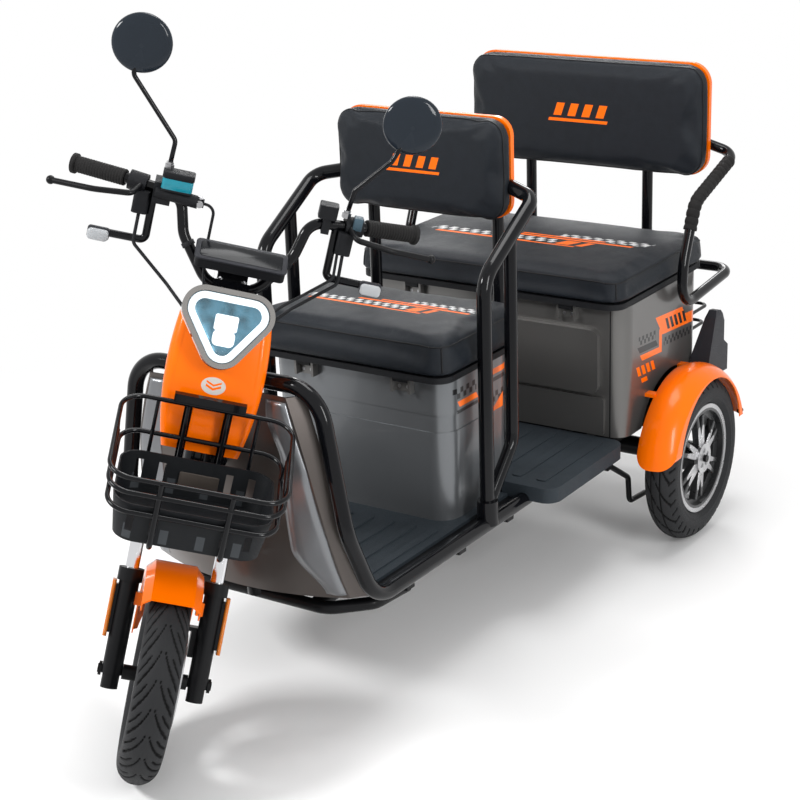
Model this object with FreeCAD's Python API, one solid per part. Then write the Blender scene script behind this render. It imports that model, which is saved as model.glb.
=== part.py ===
import FreeCAD, Part
import math
import os

# Electric tricycle with a front wheel on a sprung fork, two bench seats and two driven
# rear wheels. Millimetres, +Z up, front towards -Y, the rider's left towards +X.
# The model is laid out with the rear axle over y = 0 and moved to its own origin,
# the middle of its footprint on the ground, when the pieces are written.

V = FreeCAD.Vector
ORIGIN_Y = -721.8          # middle of the whole length, measured from the rear axle
LEFT_AND_RIGHT = ((1, "left"), (-1, "right"))

# Fits
RUNNING_FIT = 0.06         # radial clearance of a part that turns on a pin
HEAD_FIT = 0.3             # radial clearance of the stem in the head tube
SEAT_GAP = 0.3             # clearance between pieces that are seated but not joined
WELD_FIT = 0.05            # clearance where one piece is notched round another

# Wheels
TYRE_RADIUS = 211.0
TYRE_WIDTH = 84.0
TYRE_CROWN = 42.0          # radius of the tyre's section under the tread
BEAD_RADIUS = 127.0        # where the tyre sits on the rim
FLANGE_RADIUS = 139.0
RIM_WIDTH = 66.0
RIM_WALL = 5.0
RIM_WELL = 14.0            # depth of the drop centre
SPOKE_PAIRS = 6
SPOKE_GAP_DEG = 17.0       # between the two spokes of a pair
SPOKE_WIDTH = 11.0
REAR_HUB_RADIUS = 38.0
REAR_HUB_HALF = 36.0
REAR_SPOKE_FACE = 30.0     # outer face of the spokes from the middle of the wheel
FRONT_HUB_RADIUS = 34.0
FRONT_HUB_HALF = 35.0
FRONT_SPOKE_FACE = 22.0
DISC_RADIUS = 95.0
DISC_THICK = 4.0
DISC_X = 45.0              # inner face of the brake disc
REAR_TRACK_HALF = 439.0
AXLE_RADIUS = 9.0

# Steering head and fork, lengths up the steering axis from the ground
RAKE_DEG = 23.8            # steering axis from the vertical
STEER_REST_DEG = 40.0      # the bars stand turned to the left
HEAD_FOOT_Y = -1650.0      # where the steering axis meets the ground
AXLE_AHEAD = 33.0          # front axle ahead of the steering axis
LEG_AHEAD = 42.0           # fork legs ahead of the steering axis
FORK_HALF = 84.5
STANCHION_RADIUS = 13.5
SLIDER_RADIUS = 20.0
SLIDER_LENGTH = 205.0      # from the axle up to the dust seal
SEAL_LENGTH = 26.0
HEAD_LOW = 565.0           # the head tube, its lower and upper end
HEAD_HIGH = 852.0
HEAD_RADIUS = 27.0
STEM_RADIUS = 14.0
STEM_TOP = 990.0
YOKE_THICK = 26.0
YOKE_HALF = 104.0
FORK_FENDER_HALF = 57.0
FORK_FENDER_GAP = 14.0     # from the tyre to the fender
NOSE_WALL = 3.0
LAMP_HALF = 90.0           # headlamp bezel
LAMP_UP = (831.0, 985.0)
LAMP_CORNER = 44.0
LAMP_AHEAD = (96.0, 150.0)
BEZEL_WIDTH = 10.0

# Basket, straight ahead
BASKET_BACK = -1461.0
BASKET_DEPTH = 256.0
BASKET_TOP = 740.0
BASKET_SLOPE_DEG = 11.5    # the rings fall towards the front
BASKET_HALF = 166.0
BASKET_WIRE = 4.8
TRAY_Z = (551.7, 632.0)
TRAY_WALL = 3.0

# Handlebar, straight ahead
BAR_RADIUS = 11.0
BAR_LEFT = ((48.0, -1234.0, 906.0), (112.0, -1206.0, 988.0), (130.0, -1190.0, 1060.0),
            (236.0, -1172.0, 1066.0), (348.0, -1128.0, 1060.0))
BAR_BENDS = [60.0, 38.0, 60.0, 50.0, 50.0, 60.0, 38.0, 60.0]
GRIP_RADIUS = 17.0

# Frame
RAIL_X = 296.0
RAIL_Z = 282.0
RAIL_RADIUS = 17.0
RAIL_FRONT_Y = -1215.0
HOOP_Y = -1284.0
HOOP_TOP_Z = 744.0
HOOP_LOW_X = 283.0
HOOP_HIGH_X = 230.0
HOOP_BENDS = [90.0, 160.0, 84.0, 84.0, 160.0, 90.0]
FLOOR_TOP = 290.0
FLOOR_THICK = 4.0
MAT_THICK = 8.0
MAT_RIB = 4.0
FRONT_CROSS_Y = -1222.0
FRONT_CROSS_Z = 238.0
SPINE_X = 150.0
SPINE_Z = 240.0
SPINE_RADIUS = 16.0
SPINE_HIGH_Z = 300.0       # the spines rise over the rear axle
NECK_RADIUS = 21.0
BAR_ROWS = ((-1060.0, 283.0), (-850.0, 283.0), (-640.0, 283.0), (-400.0, 283.0), (-250.0, 283.0))
BAR_HALF = 14.0
BAR_LOW = 240.0
STEP_TOP = 318.0
STEP_THICK = 14.0
STEP_HALF = 376.0
STEP_FRONT_Y = -606.0
STEP_REAR_Y = -243.0
SHIELD_WALL = 4.0

# Front seat
BOX_WALL = 4.0
BOX_DRAFT = 6.0
FRONT_BOX_HALF = 240.0
FRONT_BOX_Y = (-830.0, -548.0)
FRONT_BOX_TOP = 628.0
FRONT_BOX_CORNER = 50.0
BAND_Z = (500.0, 540.0)    # recessed band round the box
BAND_DEPTH = 2.2
BASE_THICK = 14.0
LID_GAP = 0.3
FRONT_CUSHION_HALF = 266.0
FRONT_CUSHION_Y = (-880.0, -530.0)
CUSHION_TOP = 728.0
HINGE_PIN_RADIUS = 4.0
HINGE_BARREL = 8.0
HINGE_AHEAD = 14.0         # lid hinge in front of its box
FRONT_HINGE_X = 130.0
REAR_HINGE_X = 220.0
ARM_Y = -763.0
ARM_BEND_Z = 843.0
ARM_RADIUS = 16.5
FRONT_BACK_HALF = 224.0
FRONT_BACK_Z = (912.0, 1142.0)
FRONT_BACK_Y = -560.0
FRONT_POST_X = 170.0
PAD_THICK = 46.0
SHELL_THICK = 14.0
POST_RADIUS = 14.0
POST_TOP = 1060.0

# Rear seat and body
REAR_BOX_HALF = 370.0
REAR_BOX_Y = (-240.0, 178.0)
REAR_BOX_TOP = 650.0
REAR_BOX_CORNER = 42.0
REAR_CUSHION_HALF = 379.0
REAR_CUSHION_Y = (-285.0, 222.0)
REAR_CUSHION_TOP = 732.0
REAR_BACK_HALF = 342.0
REAR_BACK_Z = (862.0, 1150.0)
REAR_BACK_Y = 236.0
REAR_POST_X = 173.0
REAR_POST_Y = 277.0
HANDLE_X = 401.0
HANDLE_RADIUS = 13.0
ARCH_RADIUS = 180.0
ARCH_Y = 20.0
ARCH_Z = 250.0
FENDER_X = (393.0, 490.0)
FENDER_CROWN = 238.0
FENDER_WALL = 3.0
SKIRT_RADIUS = 168.0
LAMP_X = (376.0, 428.0)

parts = {}


def v(*xyz):
    return V(*xyz)


def block(x, y, z):
    """A plain box between pairs of x, y and z."""
    return Part.makeBox(x[1] - x[0], y[1] - y[0], z[1] - z[0], v(x[0], y[0], z[0]))


def rod(start, end, radius):
    """A round bar between two points."""
    a, b = v(*start), v(*end)
    return Part.makeCylinder(radius, (b - a).Length, a, b - a)


def rounded_rectangle(x, y, z, radius):
    """A level rounded rectangle as a wire."""
    (x0, x1), (y0, y1) = x, y
    r, k = radius, radius * (1 - math.sqrt(0.5))
    corners = [
        (x1 - r, y0, x1 - k, y0 + k, x1, y0 + r), (x1, y1 - r, x1 - k, y1 - k, x1 - r, y1),
        (x0 + r, y1, x0 + k, y1 - k, x0, y1 - r), (x0, y0 + r, x0 + k, y0 + k, x0 + r, y0)]
    edges = []
    for i, (ax, ay, mx, my, bx, by) in enumerate(corners):
        edges.append(Part.Arc(v(ax, ay, z), v(mx, my, z), v(bx, by, z)).toShape())
        nx, ny = corners[(i + 1) % 4][:2]
        edges.append(Part.LineSegment(v(bx, by, z), v(nx, ny, z)).toShape())
    return Part.Wire(edges)


def slab(x, y, z, radius):
    """A level plate with rounded corners."""
    return Part.Face(rounded_rectangle(x, y, z[0], radius)).extrude(v(0, 0, z[1] - z[0]))


def upright(x, y, z, radius):
    """A plate standing across the tricycle, rounded at its four corners."""
    plate = Part.Face(rounded_rectangle(x, (-z[1], -z[0]), 0, radius)).extrude(v(0, 0, y[1] - y[0]))
    plate.rotate(v(0, 0, 0), v(1, 0, 0), -90)
    plate.translate(v(0, y[0], 0))
    return plate


def polygon(points):
    """A flat face through points in order."""
    pts = [v(*p) for p in points]
    return Part.Face(Part.makePolygon(pts + pts[:1]))


def bent_path(points, bends):
    """Straight runs through the points, joined by tangent arcs."""
    pts = [v(*p) for p in points]
    if not isinstance(bends, (list, tuple)):
        bends = [bends] * (len(pts) - 2)
    edges = []
    start = pts[0]
    for before, at, after, bend in zip(pts, pts[1:], pts[2:], bends):
        back, on = (before - at).normalize(), (after - at).normalize()
        half = back.getAngle(on) / 2
        cut = bend / math.tan(half)
        middle = at + (back + on).normalize() * (bend / math.sin(half) - bend)
        first, last = at + back * cut, at + on * cut
        if (first - start).Length > 1e-3:
            edges.append(Part.LineSegment(start, first).toShape())
        edges.append(Part.Arc(first, middle, last).toShape())
        start = last
    edges.append(Part.LineSegment(start, pts[-1]).toShape())
    return Part.Wire(edges)


def tube(points, radius, bends=60.0):
    """A round tube bent along the points."""
    if len(points) == 2:
        return rod(points[0], points[1], radius)
    path = bent_path(points, bends)
    a, b = v(*points[0]), v(*points[1])
    ring = Part.Wire([Part.makeCircle(radius, a, b - a)])
    return path.makePipeShell([ring], True, False)


def mirrored(shape):
    """The same piece for the other side."""
    return shape.mirror(v(0, 0, 0), v(1, 0, 0))


def both_sides(points):
    """A path from the left end to the right end, from its left half."""
    return list(points) + [(-x, y, z) for x, y, z in reversed(points)]


def span(side, near, far):
    """A pair of x values on one side, the smaller first."""
    return tuple(sorted((side * near, side * far)))


def fuse(shapes):
    shapes = list(shapes)
    whole = shapes[0]
    if len(shapes) > 1:
        whole = whole.multiFuse(shapes[1:])
    return whole.removeSplitter()


def turned(shape):
    """A piece of the steering, laid out straight ahead, turned as it stands at rest."""
    rake = math.radians(RAKE_DEG)
    copy = shape.copy()
    copy.rotate(v(0, HEAD_FOOT_Y, 0), v(0, math.sin(rake), math.cos(rake)), STEER_REST_DEG)
    return copy


def along_fork(shape):
    """A piece laid out with Z up the steering axis and -Y ahead, put in its place."""
    copy = shape.copy()
    copy.rotate(v(0, 0, 0), v(1, 0, 0), -RAKE_DEG)
    copy.translate(v(0, HEAD_FOOT_Y, 0))
    return turned(copy)


def on_axis(up):
    """A point on the steering axis."""
    rake = math.radians(RAKE_DEG)
    return (0, HEAD_FOOT_Y + up * math.sin(rake), up * math.cos(rake))


def hub_height():
    """Front axle's place up the steering axis that sets the turned wheel on the ground."""
    rake, steer = math.radians(RAKE_DEG), math.radians(STEER_REST_DEG)
    upright_part = math.sqrt(1 - (math.sin(steer) * math.sin(rake)) ** 2)
    needed = (TYRE_RADIUS - TYRE_CROWN) * upright_part + TYRE_CROWN
    return (needed - AXLE_AHEAD * math.cos(steer) * math.sin(rake)) / math.cos(rake)


HUB_UP = hub_height()
SEAL_UP = HUB_UP + SLIDER_LENGTH


def spin(profile):
    """A ring turned about the X axis from a profile of (x, radius) points."""
    return polygon([(x, 0, r) for x, r in profile]).revolve(v(0, 0, 0), v(1, 0, 0), 360)


def tyre():
    """Ring with a round crown, straight sidewalls and flat seats on the rim."""
    half, seat, lip = TYRE_WIDTH / 2, RIM_WIDTH / 2 - 6, FLANGE_RADIUS + 1
    shoulder = TYRE_RADIUS - TYRE_CROWN
    side = [v(half, 0, shoulder), v(half - 3, 0, lip + 7), v(seat, 0, lip), v(seat, 0, BEAD_RADIUS)]
    far = [v(-p.x, 0, p.z) for p in reversed(side)]
    edges = [Part.Arc(far[-1], v(0, 0, TYRE_RADIUS), side[0]).toShape()]
    edges += [Part.LineSegment(a, b).toShape() for a, b in zip(side + far, side[1:] + far)]
    return Part.Face(Part.Wire(edges)).revolve(v(0, 0, 0), v(1, 0, 0), 360)


def rim(hub_radius, hub_half, face_x):
    """Cast wheel with paired spokes: barrel, hub and spokes in one piece."""
    half = RIM_WIDTH / 2
    seat = BEAD_RADIUS - SEAT_GAP
    well = seat - RIM_WELL
    barrel = spin([
        (-half, FLANGE_RADIUS), (-half + 4, FLANGE_RADIUS), (-half + 6, seat), (-14, seat),
        (-10, well), (10, well), (14, seat), (half - 6, seat), (half - 4, FLANGE_RADIUS),
        (half, FLANGE_RADIUS), (half - 1, seat - RIM_WALL), (16, seat - RIM_WALL),
        (12, well - RIM_WALL), (-12, well - RIM_WALL), (-16, seat - RIM_WALL),
        (-half + 1, seat - RIM_WALL)])
    hub = Part.makeCylinder(hub_radius, 2 * hub_half, v(-hub_half, 0, 0), v(1, 0, 0))
    root, tip = SPOKE_WIDTH * 0.8, SPOKE_WIDTH / 2
    spoke = Part.makeLoft([
        rounded_rectangle((face_x - 20, face_x), (-root, root), hub_radius - 4, 3),
        rounded_rectangle((face_x - 26, face_x - 6), (-tip, tip), well - RIM_WALL / 2, 3)], True, True)
    spokes = []
    for pair in range(SPOKE_PAIRS):
        for lean in (-0.5, 0.5):
            one = spoke.copy()
            one.rotate(v(0, 0, 0), v(1, 0, 0), pair * 360 / SPOKE_PAIRS + lean * SPOKE_GAP_DEG)
            spokes.append(one)
    hole = Part.makeCylinder(AXLE_RADIUS + RUNNING_FIT, 2 * hub_half + 2, v(-hub_half - 1, 0, 0), v(1, 0, 0))
    return fuse([barrel, hub] + spokes).cut(hole)


def make_wheels():
    """Three wheels: the outer face of a rear wheel looks away from the tricycle."""
    for side, name in LEFT_AND_RIGHT:
        for kind, shape in (("tyre", tyre()), ("rim", rim(REAR_HUB_RADIUS, REAR_HUB_HALF, REAR_SPOKE_FACE))):
            one = shape if side > 0 else mirrored(shape)
            one.translate(v(side * REAR_TRACK_HALF, 0, TYRE_RADIUS))
            parts["rear_%s_%s" % (kind, name)] = one
    disc = Part.makeCylinder(DISC_RADIUS, DISC_THICK, v(DISC_X, 0, 0), v(1, 0, 0))
    carrier_length = DISC_X - FRONT_HUB_HALF + DISC_THICK
    carrier = Part.makeCylinder(24, carrier_length, v(FRONT_HUB_HALF, 0, 0), v(1, 0, 0))
    bore = Part.makeCylinder(AXLE_RADIUS + RUNNING_FIT, 30, v(30, 0, 0), v(1, 0, 0))
    slots = [rod((DISC_X - 1, 0, 66), (DISC_X + DISC_THICK + 1, 0, 66), 11)]
    for i in range(1, 8):
        one = slots[0].copy()
        one.rotate(v(0, 0, 0), v(1, 0, 0), i * 45)
        slots.append(one)
    disc = fuse([disc, carrier]).cut(bore).cut(Part.makeCompound(slots))
    front_rim = rim(FRONT_HUB_RADIUS, FRONT_HUB_HALF, FRONT_SPOKE_FACE)
    for name, shape in (("front_tyre", tyre()), ("front_rim", front_rim), ("front_brake_disc", disc)):
        shape.translate(v(0, -AXLE_AHEAD, HUB_UP))
        parts[name] = along_fork(shape)


def make_fork():
    """Telescopic fork with its yoke, axle, fender, side reflectors and brake caliper."""
    leg_y = -LEG_AHEAD
    top = HEAD_LOW - 4
    legs, tubes, reflectors = [], [], []
    for side, name in LEFT_AND_RIGHT:
        x = side * FORK_HALF
        plate_x = span(side, FORK_HALF + SLIDER_RADIUS - 2, FORK_HALF + SLIDER_RADIUS + 4)
        leg = fuse([
            rod((x, leg_y, HUB_UP - 6), (x, leg_y, SEAL_UP), SLIDER_RADIUS),
            rod((x, leg_y, SEAL_UP - SEAL_LENGTH), (x, leg_y, SEAL_UP), SLIDER_RADIUS + 5),
            rod((x, leg_y, HUB_UP - 34), (x, leg_y, HUB_UP + 10), SLIDER_RADIUS - 3),
            rod((x - side * 16, -AXLE_AHEAD, HUB_UP), (x + side * 16, -AXLE_AHEAD, HUB_UP), 19),
            block(plate_x, (leg_y - 11, leg_y + 11), (HUB_UP + 74, HUB_UP + 170))])
        if name == "left":
            leg = leg.fuse(caliper(leg_y))
        bore = rod((x - 30, -AXLE_AHEAD, HUB_UP), (x + 30, -AXLE_AHEAD, HUB_UP), AXLE_RADIUS + WELD_FIT)
        well = rod((x, leg_y, HUB_UP + 60), (x, leg_y, SEAL_UP + 1), STANCHION_RADIUS)
        legs.append(leg.cut(bore).cut(well))
        tubes.append(rod((x, leg_y, HUB_UP + 60), (x, leg_y, top), STANCHION_RADIUS))
        lens_x = span(side, plate_x[side > 0] * side, plate_x[side > 0] * side + 8)
        reflectors.append(slab(lens_x, (leg_y - 15, leg_y + 15), (HUB_UP + 66, HUB_UP + 178), 3.9))
    parts["fork_sliders"] = along_fork(Part.makeCompound(legs))
    parts["fork_tubes"] = along_fork(Part.makeCompound(tubes))
    parts["fork_reflectors"] = along_fork(Part.makeCompound(reflectors))

    outer, lug = FORK_HALF + SLIDER_RADIUS + SEAT_GAP, FORK_HALF - SLIDER_RADIUS - SEAT_GAP
    # start x, end x, radius: pin, nuts outside the legs, spacers between legs and hub
    steps = [(-outer - 8, outer + 8, AXLE_RADIUS), (outer, outer + 6, 14), (-outer - 6, -outer, 14),
             (-lug, -FRONT_HUB_HALF - SEAT_GAP, 15), (DISC_X + DISC_THICK + SEAT_GAP, lug, 15)]
    pieces = [rod((a, -AXLE_AHEAD, HUB_UP), (b, -AXLE_AHEAD, HUB_UP), r) for a, b, r in steps]
    parts["front_axle"] = along_fork(fuse(pieces))

    yoke = slab((-YOKE_HALF, YOKE_HALF), (leg_y - 24, 24), (top - YOKE_THICK, top), 24)
    sockets = [rod((s * FORK_HALF, leg_y, top - 66), (s * FORK_HALF, leg_y, top + 6), STANCHION_RADIUS + 7.5)
               for s in (1, -1)]
    stem = rod((0, 0, top - 6), (0, 0, STEM_TOP), STEM_RADIUS)
    collar = rod((0, 0, HEAD_HIGH + SEAT_GAP), (0, 0, HEAD_HIGH + 22), 26)
    race = rod((0, 0, top - 6), (0, 0, HEAD_LOW - SEAT_GAP), 21)
    whole = fuse([yoke, stem, collar, race, nose_bracket()] + sockets)
    for s in (1, -1):
        whole = whole.cut(rod((s * FORK_HALF, leg_y, top - 80), (s * FORK_HALF, leg_y, top), STANCHION_RADIUS + WELD_FIT))
    parts["fork_yoke"] = along_fork(whole)
    parts["front_fender"] = along_fork(fork_fender(leg_y))


def fork_fender(leg_y):
    """Fender over the front wheel, with a lug clamped round each slider."""
    inner, half = TYRE_RADIUS + FORK_FENDER_GAP, FORK_FENDER_HALF
    outer, lip = inner + 3, inner - 34
    ring = spin([(-half, lip), (-half, outer - 16), (-half + 16, outer), (half - 16, outer), (half, outer - 16),
                 (half, lip), (half - 3, lip), (half - 3, inner - 15), (half - 18, inner), (-half + 18, inner),
                 (-half + 3, inner - 15), (-half + 3, lip)])
    keep = polygon([(-90, 0, 0), (-90, -280, 300), (-90, 175, 300), (-90, 210, 60)])
    fender = ring.common(keep.extrude(v(180, 0, 0)))
    fender.translate(v(0, -AXLE_AHEAD, HUB_UP))
    lugs = []
    for side in (1, -1):
        lugs.append(block(span(side, half - 3, half), (leg_y - 12, leg_y + 12), (SEAL_UP - 70, SEAL_UP - 4)))
        lugs.append(block(span(side, half - 3, FORK_HALF), (leg_y - 12, leg_y + 12), (SEAL_UP - 70, SEAL_UP - 44)))
    whole = fuse([fender] + lugs)
    for side in (1, -1):
        x = side * FORK_HALF
        whole = whole.cut(rod((x, leg_y, HUB_UP), (x, leg_y, SEAL_UP - 30), SLIDER_RADIUS + SEAT_GAP))
    return whole


def caliper(leg_y):
    """Brake caliper over the disc's edge, on the left slider."""
    body = slab((30, 78), (leg_y + 8, leg_y + 46), (HUB_UP + 50, HUB_UP + DISC_RADIUS + 14), 8)
    slot = block((DISC_X - 5.3, DISC_X + DISC_THICK + 5.3), (leg_y, leg_y + 60), (HUB_UP + 40, HUB_UP + DISC_RADIUS + 6))
    return body.cut(slot)


def nose_bracket():
    """Cross plate on the steering stem that carries the nose."""
    up = HEAD_HIGH + 30
    plate = slab((-92, 92), (-LAMP_AHEAD[0] + SEAT_GAP, -80), (up, up + 6), 7)
    tongue = block((-26, 26), (-82, 10), (up, up + 6))
    return fuse([plate, tongue, rod((0, 0, up - 10), (0, 0, up + 16), 20)])


def nose_section(up, half, back, front, radius):
    """Level outline of the nose: straight back and sides, round corners, arched front."""
    arch = 8.0
    side_y, face_y = -front + radius + arch, -front + arch
    k = radius * (1 - math.sqrt(0.5))
    corner = Part.Arc(v(half, side_y, up), v(half - k, side_y - radius + k, up), v(half - radius, face_y, up))
    other = Part.Arc(v(-half + radius, face_y, up), v(-half + k, side_y - radius + k, up), v(-half, side_y, up))
    face = Part.Arc(v(half - radius, face_y, up), v(0, -front, up), v(-half + radius, face_y, up))
    lines = [Part.LineSegment(v(half, -back, up), v(half, side_y, up)),
             Part.LineSegment(v(-half, side_y, up), v(-half, -back, up)),
             Part.LineSegment(v(-half, -back, up), v(half, -back, up))]
    return Part.Wire([e.toShape() for e in (lines[0], corner, face, other, lines[1], lines[2])])


def make_nose():
    """Nose cover over the steering head, open at the back, with the headlamp in its top."""
    # up the axis, half width, back and front ahead of the axis, corner radius
    table = [(665, 76, 50, 74, 14), (760, 94, 66, 100, 18), (880, 96, 72, 115, 22), (940, 89, 72, 113, 20)]
    wall = NOSE_WALL
    outer = [nose_section(*row) for row in table]
    inner = []
    for i, (up, half, back, front, r) in enumerate(table):
        lift = wall if i == 0 else -wall if i == len(table) - 1 else 0
        inner.append(nose_section(up + lift, half - wall, back - 6, front - wall, r - wall))
    shell = Part.makeLoft(outer, True, False).cut(Part.makeLoft(inner, True, False))
    back, front = LAMP_AHEAD
    parts["nose_fairing"] = along_fork(shell.cut(lamp_body(-1, 50, front)))
    bezel = lamp_body(0, back, front).cut(lamp_body(BEZEL_WIDTH, back + 28, front + 2))
    parts["headlamp_bezel"] = along_fork(bezel)
    parts["headlamp_glass"] = along_fork(lamp_body(BEZEL_WIDTH + SEAT_GAP, back + 28 + SEAT_GAP, front - 3))


def lamp_body(inset, back, front):
    """Rounded triangle, wide at the top, pushed forward from back to front."""
    low, high = LAMP_UP
    reach, r = LAMP_HALF - LAMP_CORNER, LAMP_CORNER
    corners = polygon([(-reach, -back, high - r), (reach, -back, high - r), (0, -back, low + r)])
    return corners.makeOffset2D(r - inset).extrude(v(0, back - front, 0))


def ring_wire(half, y, z, radius, wire):
    """A closed rounded ring of wire, level, between y[0] and y[1]."""
    pieces = []
    for edge in rounded_rectangle((-half, half), y, z, radius).Edges:
        start = edge.valueAt(edge.FirstParameter)
        circle = Part.Wire([Part.makeCircle(wire, start, edge.tangentAt(edge.FirstParameter))])
        pieces.append(Part.Wire([edge]).makePipeShell([circle], True, False))
    return pieces


def make_basket():
    """Wire basket with a moulded tray, on a plate that stands on the fork's yoke."""
    back, front, wire = BASKET_BACK, BASKET_BACK - BASKET_DEPTH, BASKET_WIRE
    low = TRAY_Z[0] - 4
    fall = math.tan(math.radians(BASKET_SLOPE_DEG))
    pieces = []
    # height at the back, inset from the top ring, corner radius
    for z, inset, r in ((BASKET_TOP, 0, 46), (BASKET_TOP - 73, 7, 43)):
        ring = Part.makeCompound(ring_wire(BASKET_HALF - inset, (front + inset, back), z, r, wire))
        ring.rotate(v(0, back, z), v(1, 0, 0), BASKET_SLOPE_DEG)
        pieces += ring.Solids
    posts_y = (back - 76, front + 70)
    rail_z = BASKET_TOP - 29
    rail = [(BASKET_HALF - 3, posts_y[0], rail_z - 76 * fall), (BASKET_HALF - 3, front + 5, rail_z - (BASKET_DEPTH - 5) * fall)]
    pieces.append(tube(both_sides(rail), wire, 44))
    for x in (-98, -39, 39, 98):
        pieces.append(tube([(x, back, BASKET_TOP), (x, back - 14, low), (x, back - 60, low)], wire * 0.8, 14))
    for x in (-66, 66):
        top = (x, front + 5, BASKET_TOP - BASKET_DEPTH * fall)
        pieces.append(tube([top, (x, front + 14, low), (x, back - 60, low)], wire * 1.2, 14))
    for y in posts_y:
        drop = (back - y) * fall
        for side in (1, -1):
            pieces.append(rod((side * BASKET_HALF, y, BASKET_TOP - drop), (side * (BASKET_HALF - 7), y, BASKET_TOP - 73 - drop), wire * 0.8))
    outer = Part.makeLoft([rounded_rectangle((-138, 138), (front + 24, back - 22), TRAY_Z[0], 40),
                           rounded_rectangle((-150, 150), (front + 16, back - 12), TRAY_Z[1], 46)], True, True)
    w = TRAY_WALL
    inner = Part.makeLoft([
        rounded_rectangle((-138 + w, 138 - w), (front + 24 + w, back - 22 - w), TRAY_Z[0] + w, 40 - w),
        rounded_rectangle((-150 + w, 150 - w), (front + 16 + w, back - 12 - w), TRAY_Z[1] + 1, 46 - w)], True, True)
    tray = outer.cut(inner)
    for x in (-110, -66, 66, 110):
        tray = tray.cut(block((x - 7, x + 7), (back - 40, back), (572, 616)))
        tray = tray.cut(block((x - 7, x + 7), (front, front + 40), (572, 606)))
    flats = [block((x - 8, x + 8), (back + 2, back + 8), (532, BASKET_TOP + 8)) for x in (-39, 39)]
    flats.append(block((-60, 60), (back + 2, back + 8), (520, 600)))
    flats.append(block((-70, 70), (back - 6, back + 8), (BASKET_TOP + 4, BASKET_TOP + 20)))
    parts["basket_wire"] = turned(fuse(pieces + flats)).cut(parts["fork_yoke"])
    parts["basket_tray"] = turned(tray).cut(parts["basket_wire"])


def bar_point(start, end, share):
    """A point between two points of the handlebar's path."""
    return tuple(a + (b - a) * share for a, b in zip(start, end))


def make_bars():
    """Handlebar with its grips, levers, switches, display, mirrors and indicators."""
    handlebar = tube(list(reversed([(-x, y, z) for x, y, z in BAR_LEFT])) + list(BAR_LEFT), BAR_RADIUS, BAR_BENDS)
    clear = tube(list(reversed([(-x, y, z) for x, y, z in BAR_LEFT])) + list(BAR_LEFT), BAR_RADIUS + WELD_FIT, BAR_BENDS)
    clamp = block((-36, 36), (-1262, -1206), (880, 930))
    flip = lambda point, side: (side * point[0], point[1], point[2])
    grips, levers, controls, arms, lenses = [], [], [], [], []
    for side, _ in LEFT_AND_RIGHT:
        rise, knee, end = BAR_LEFT[2:]
        a, b = flip(bar_point(knee, end, 0.07), side), flip(end, side)
        cap = flip(bar_point(knee, end, 1.03), side)
        grip = fuse([rod(a, cap, GRIP_RADIUS), rod(flip(bar_point(knee, end, 0.96), side), cap, GRIP_RADIUS + 4)])
        grips.append(grip.cut(rod(flip(knee, side), flip(bar_point(knee, end, 1.001), side), BAR_RADIUS + WELD_FIT)))
        housing = rod(flip(bar_point(rise, knee, 0.66), side), flip(bar_point(rise, knee, 1.0), side), 20)
        switch_x = span(side, 190, 222)
        below = slab(switch_x, (-1206, -1176), (1010, 1056), 8)
        controls.append(fuse([housing, below]).cut(clear))
        lever = tube([(side * 212, -1190, 1066), (side * 226, -1228, 1056), (side * 300, -1226, 1048),
                      (side * 384, -1190, 1036)], 6, [14, 60])
        lever = lever.fuse(Part.makeSphere(9, v(side * 386, -1189, 1036)))
        levers.append(lever.cut(clear).cut(controls[-1]))
        arms.append(tube([(side * 184, -1181, 1063), (side * 184, -1198, 956), (side * 268, -1200, 956)], 8, 12))
        lenses.append(slab(span(side, 254, 298), (-1232, -1208.3), (944, 970), 6))
    reservoir = fuse([slab((-172, -112), (-1226, -1192), (1074, 1112), 6), block((-186, -150), (-1212, -1164), (1040, 1084)),
                      rod((-182, -1206, 1064), (-96, -1212, 1060), 13), rod((-96, -1212, 1060), (-84, -1212, 1060), 9)])
    cube = fuse([slab((142, 180), (-1206, -1172), (1078, 1106), 6), block((154, 170), (-1202, -1168), (1046, 1082))])
    controls += [reservoir.cut(clear), cube.cut(clear)]
    display = slab((-82, 98), (-30, 30), (-12, 12), 10)
    display.rotate(v(0, 0, 0), v(1, 0, 0), 18)
    display.translate(v(0, -1262, 976))
    stand = block((-30, 30), (-1256, -1220), (928, 974))
    parts["hand_grips"] = turned(Part.makeCompound(grips))
    parts["brake_levers"] = turned(Part.makeCompound(levers))
    parts["indicators"] = turned(Part.makeCompound(lenses))
    parts["handlebar"] = turned(fuse([handlebar, clamp, stand] + arms)).cut(parts["fork_yoke"])
    controls = turned(Part.makeCompound(controls + [display]))
    parts["bar_controls"] = controls.cut(parts["handlebar"])
    mirrors = []
    # stem foot, knee, bend under the head, middle of the head
    rows = [((-164, -1200, 1100), (-162, -1184, 1166), (-266, -1182, 1278), (-260, -1190, 1340)),
            ((199, -1178, 1070), (204, -1178, 1140), (262, -1182, 1216), (285, -1190, 1296))]
    for foot, knee, under, head in rows:
        stem = tube([foot, knee, under, (head[0], head[1] + 8, head[2])], 5, [18, 18])
        mirrors.append(stem.fuse(Part.makeCylinder(59, 16, v(*head), v(0, 1, 0))))
    mirrors = turned(Part.makeCompound(mirrors))
    parts["mirrors"] = mirrors.cut(parts["bar_controls"]).cut(parts["handlebar"])


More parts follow.
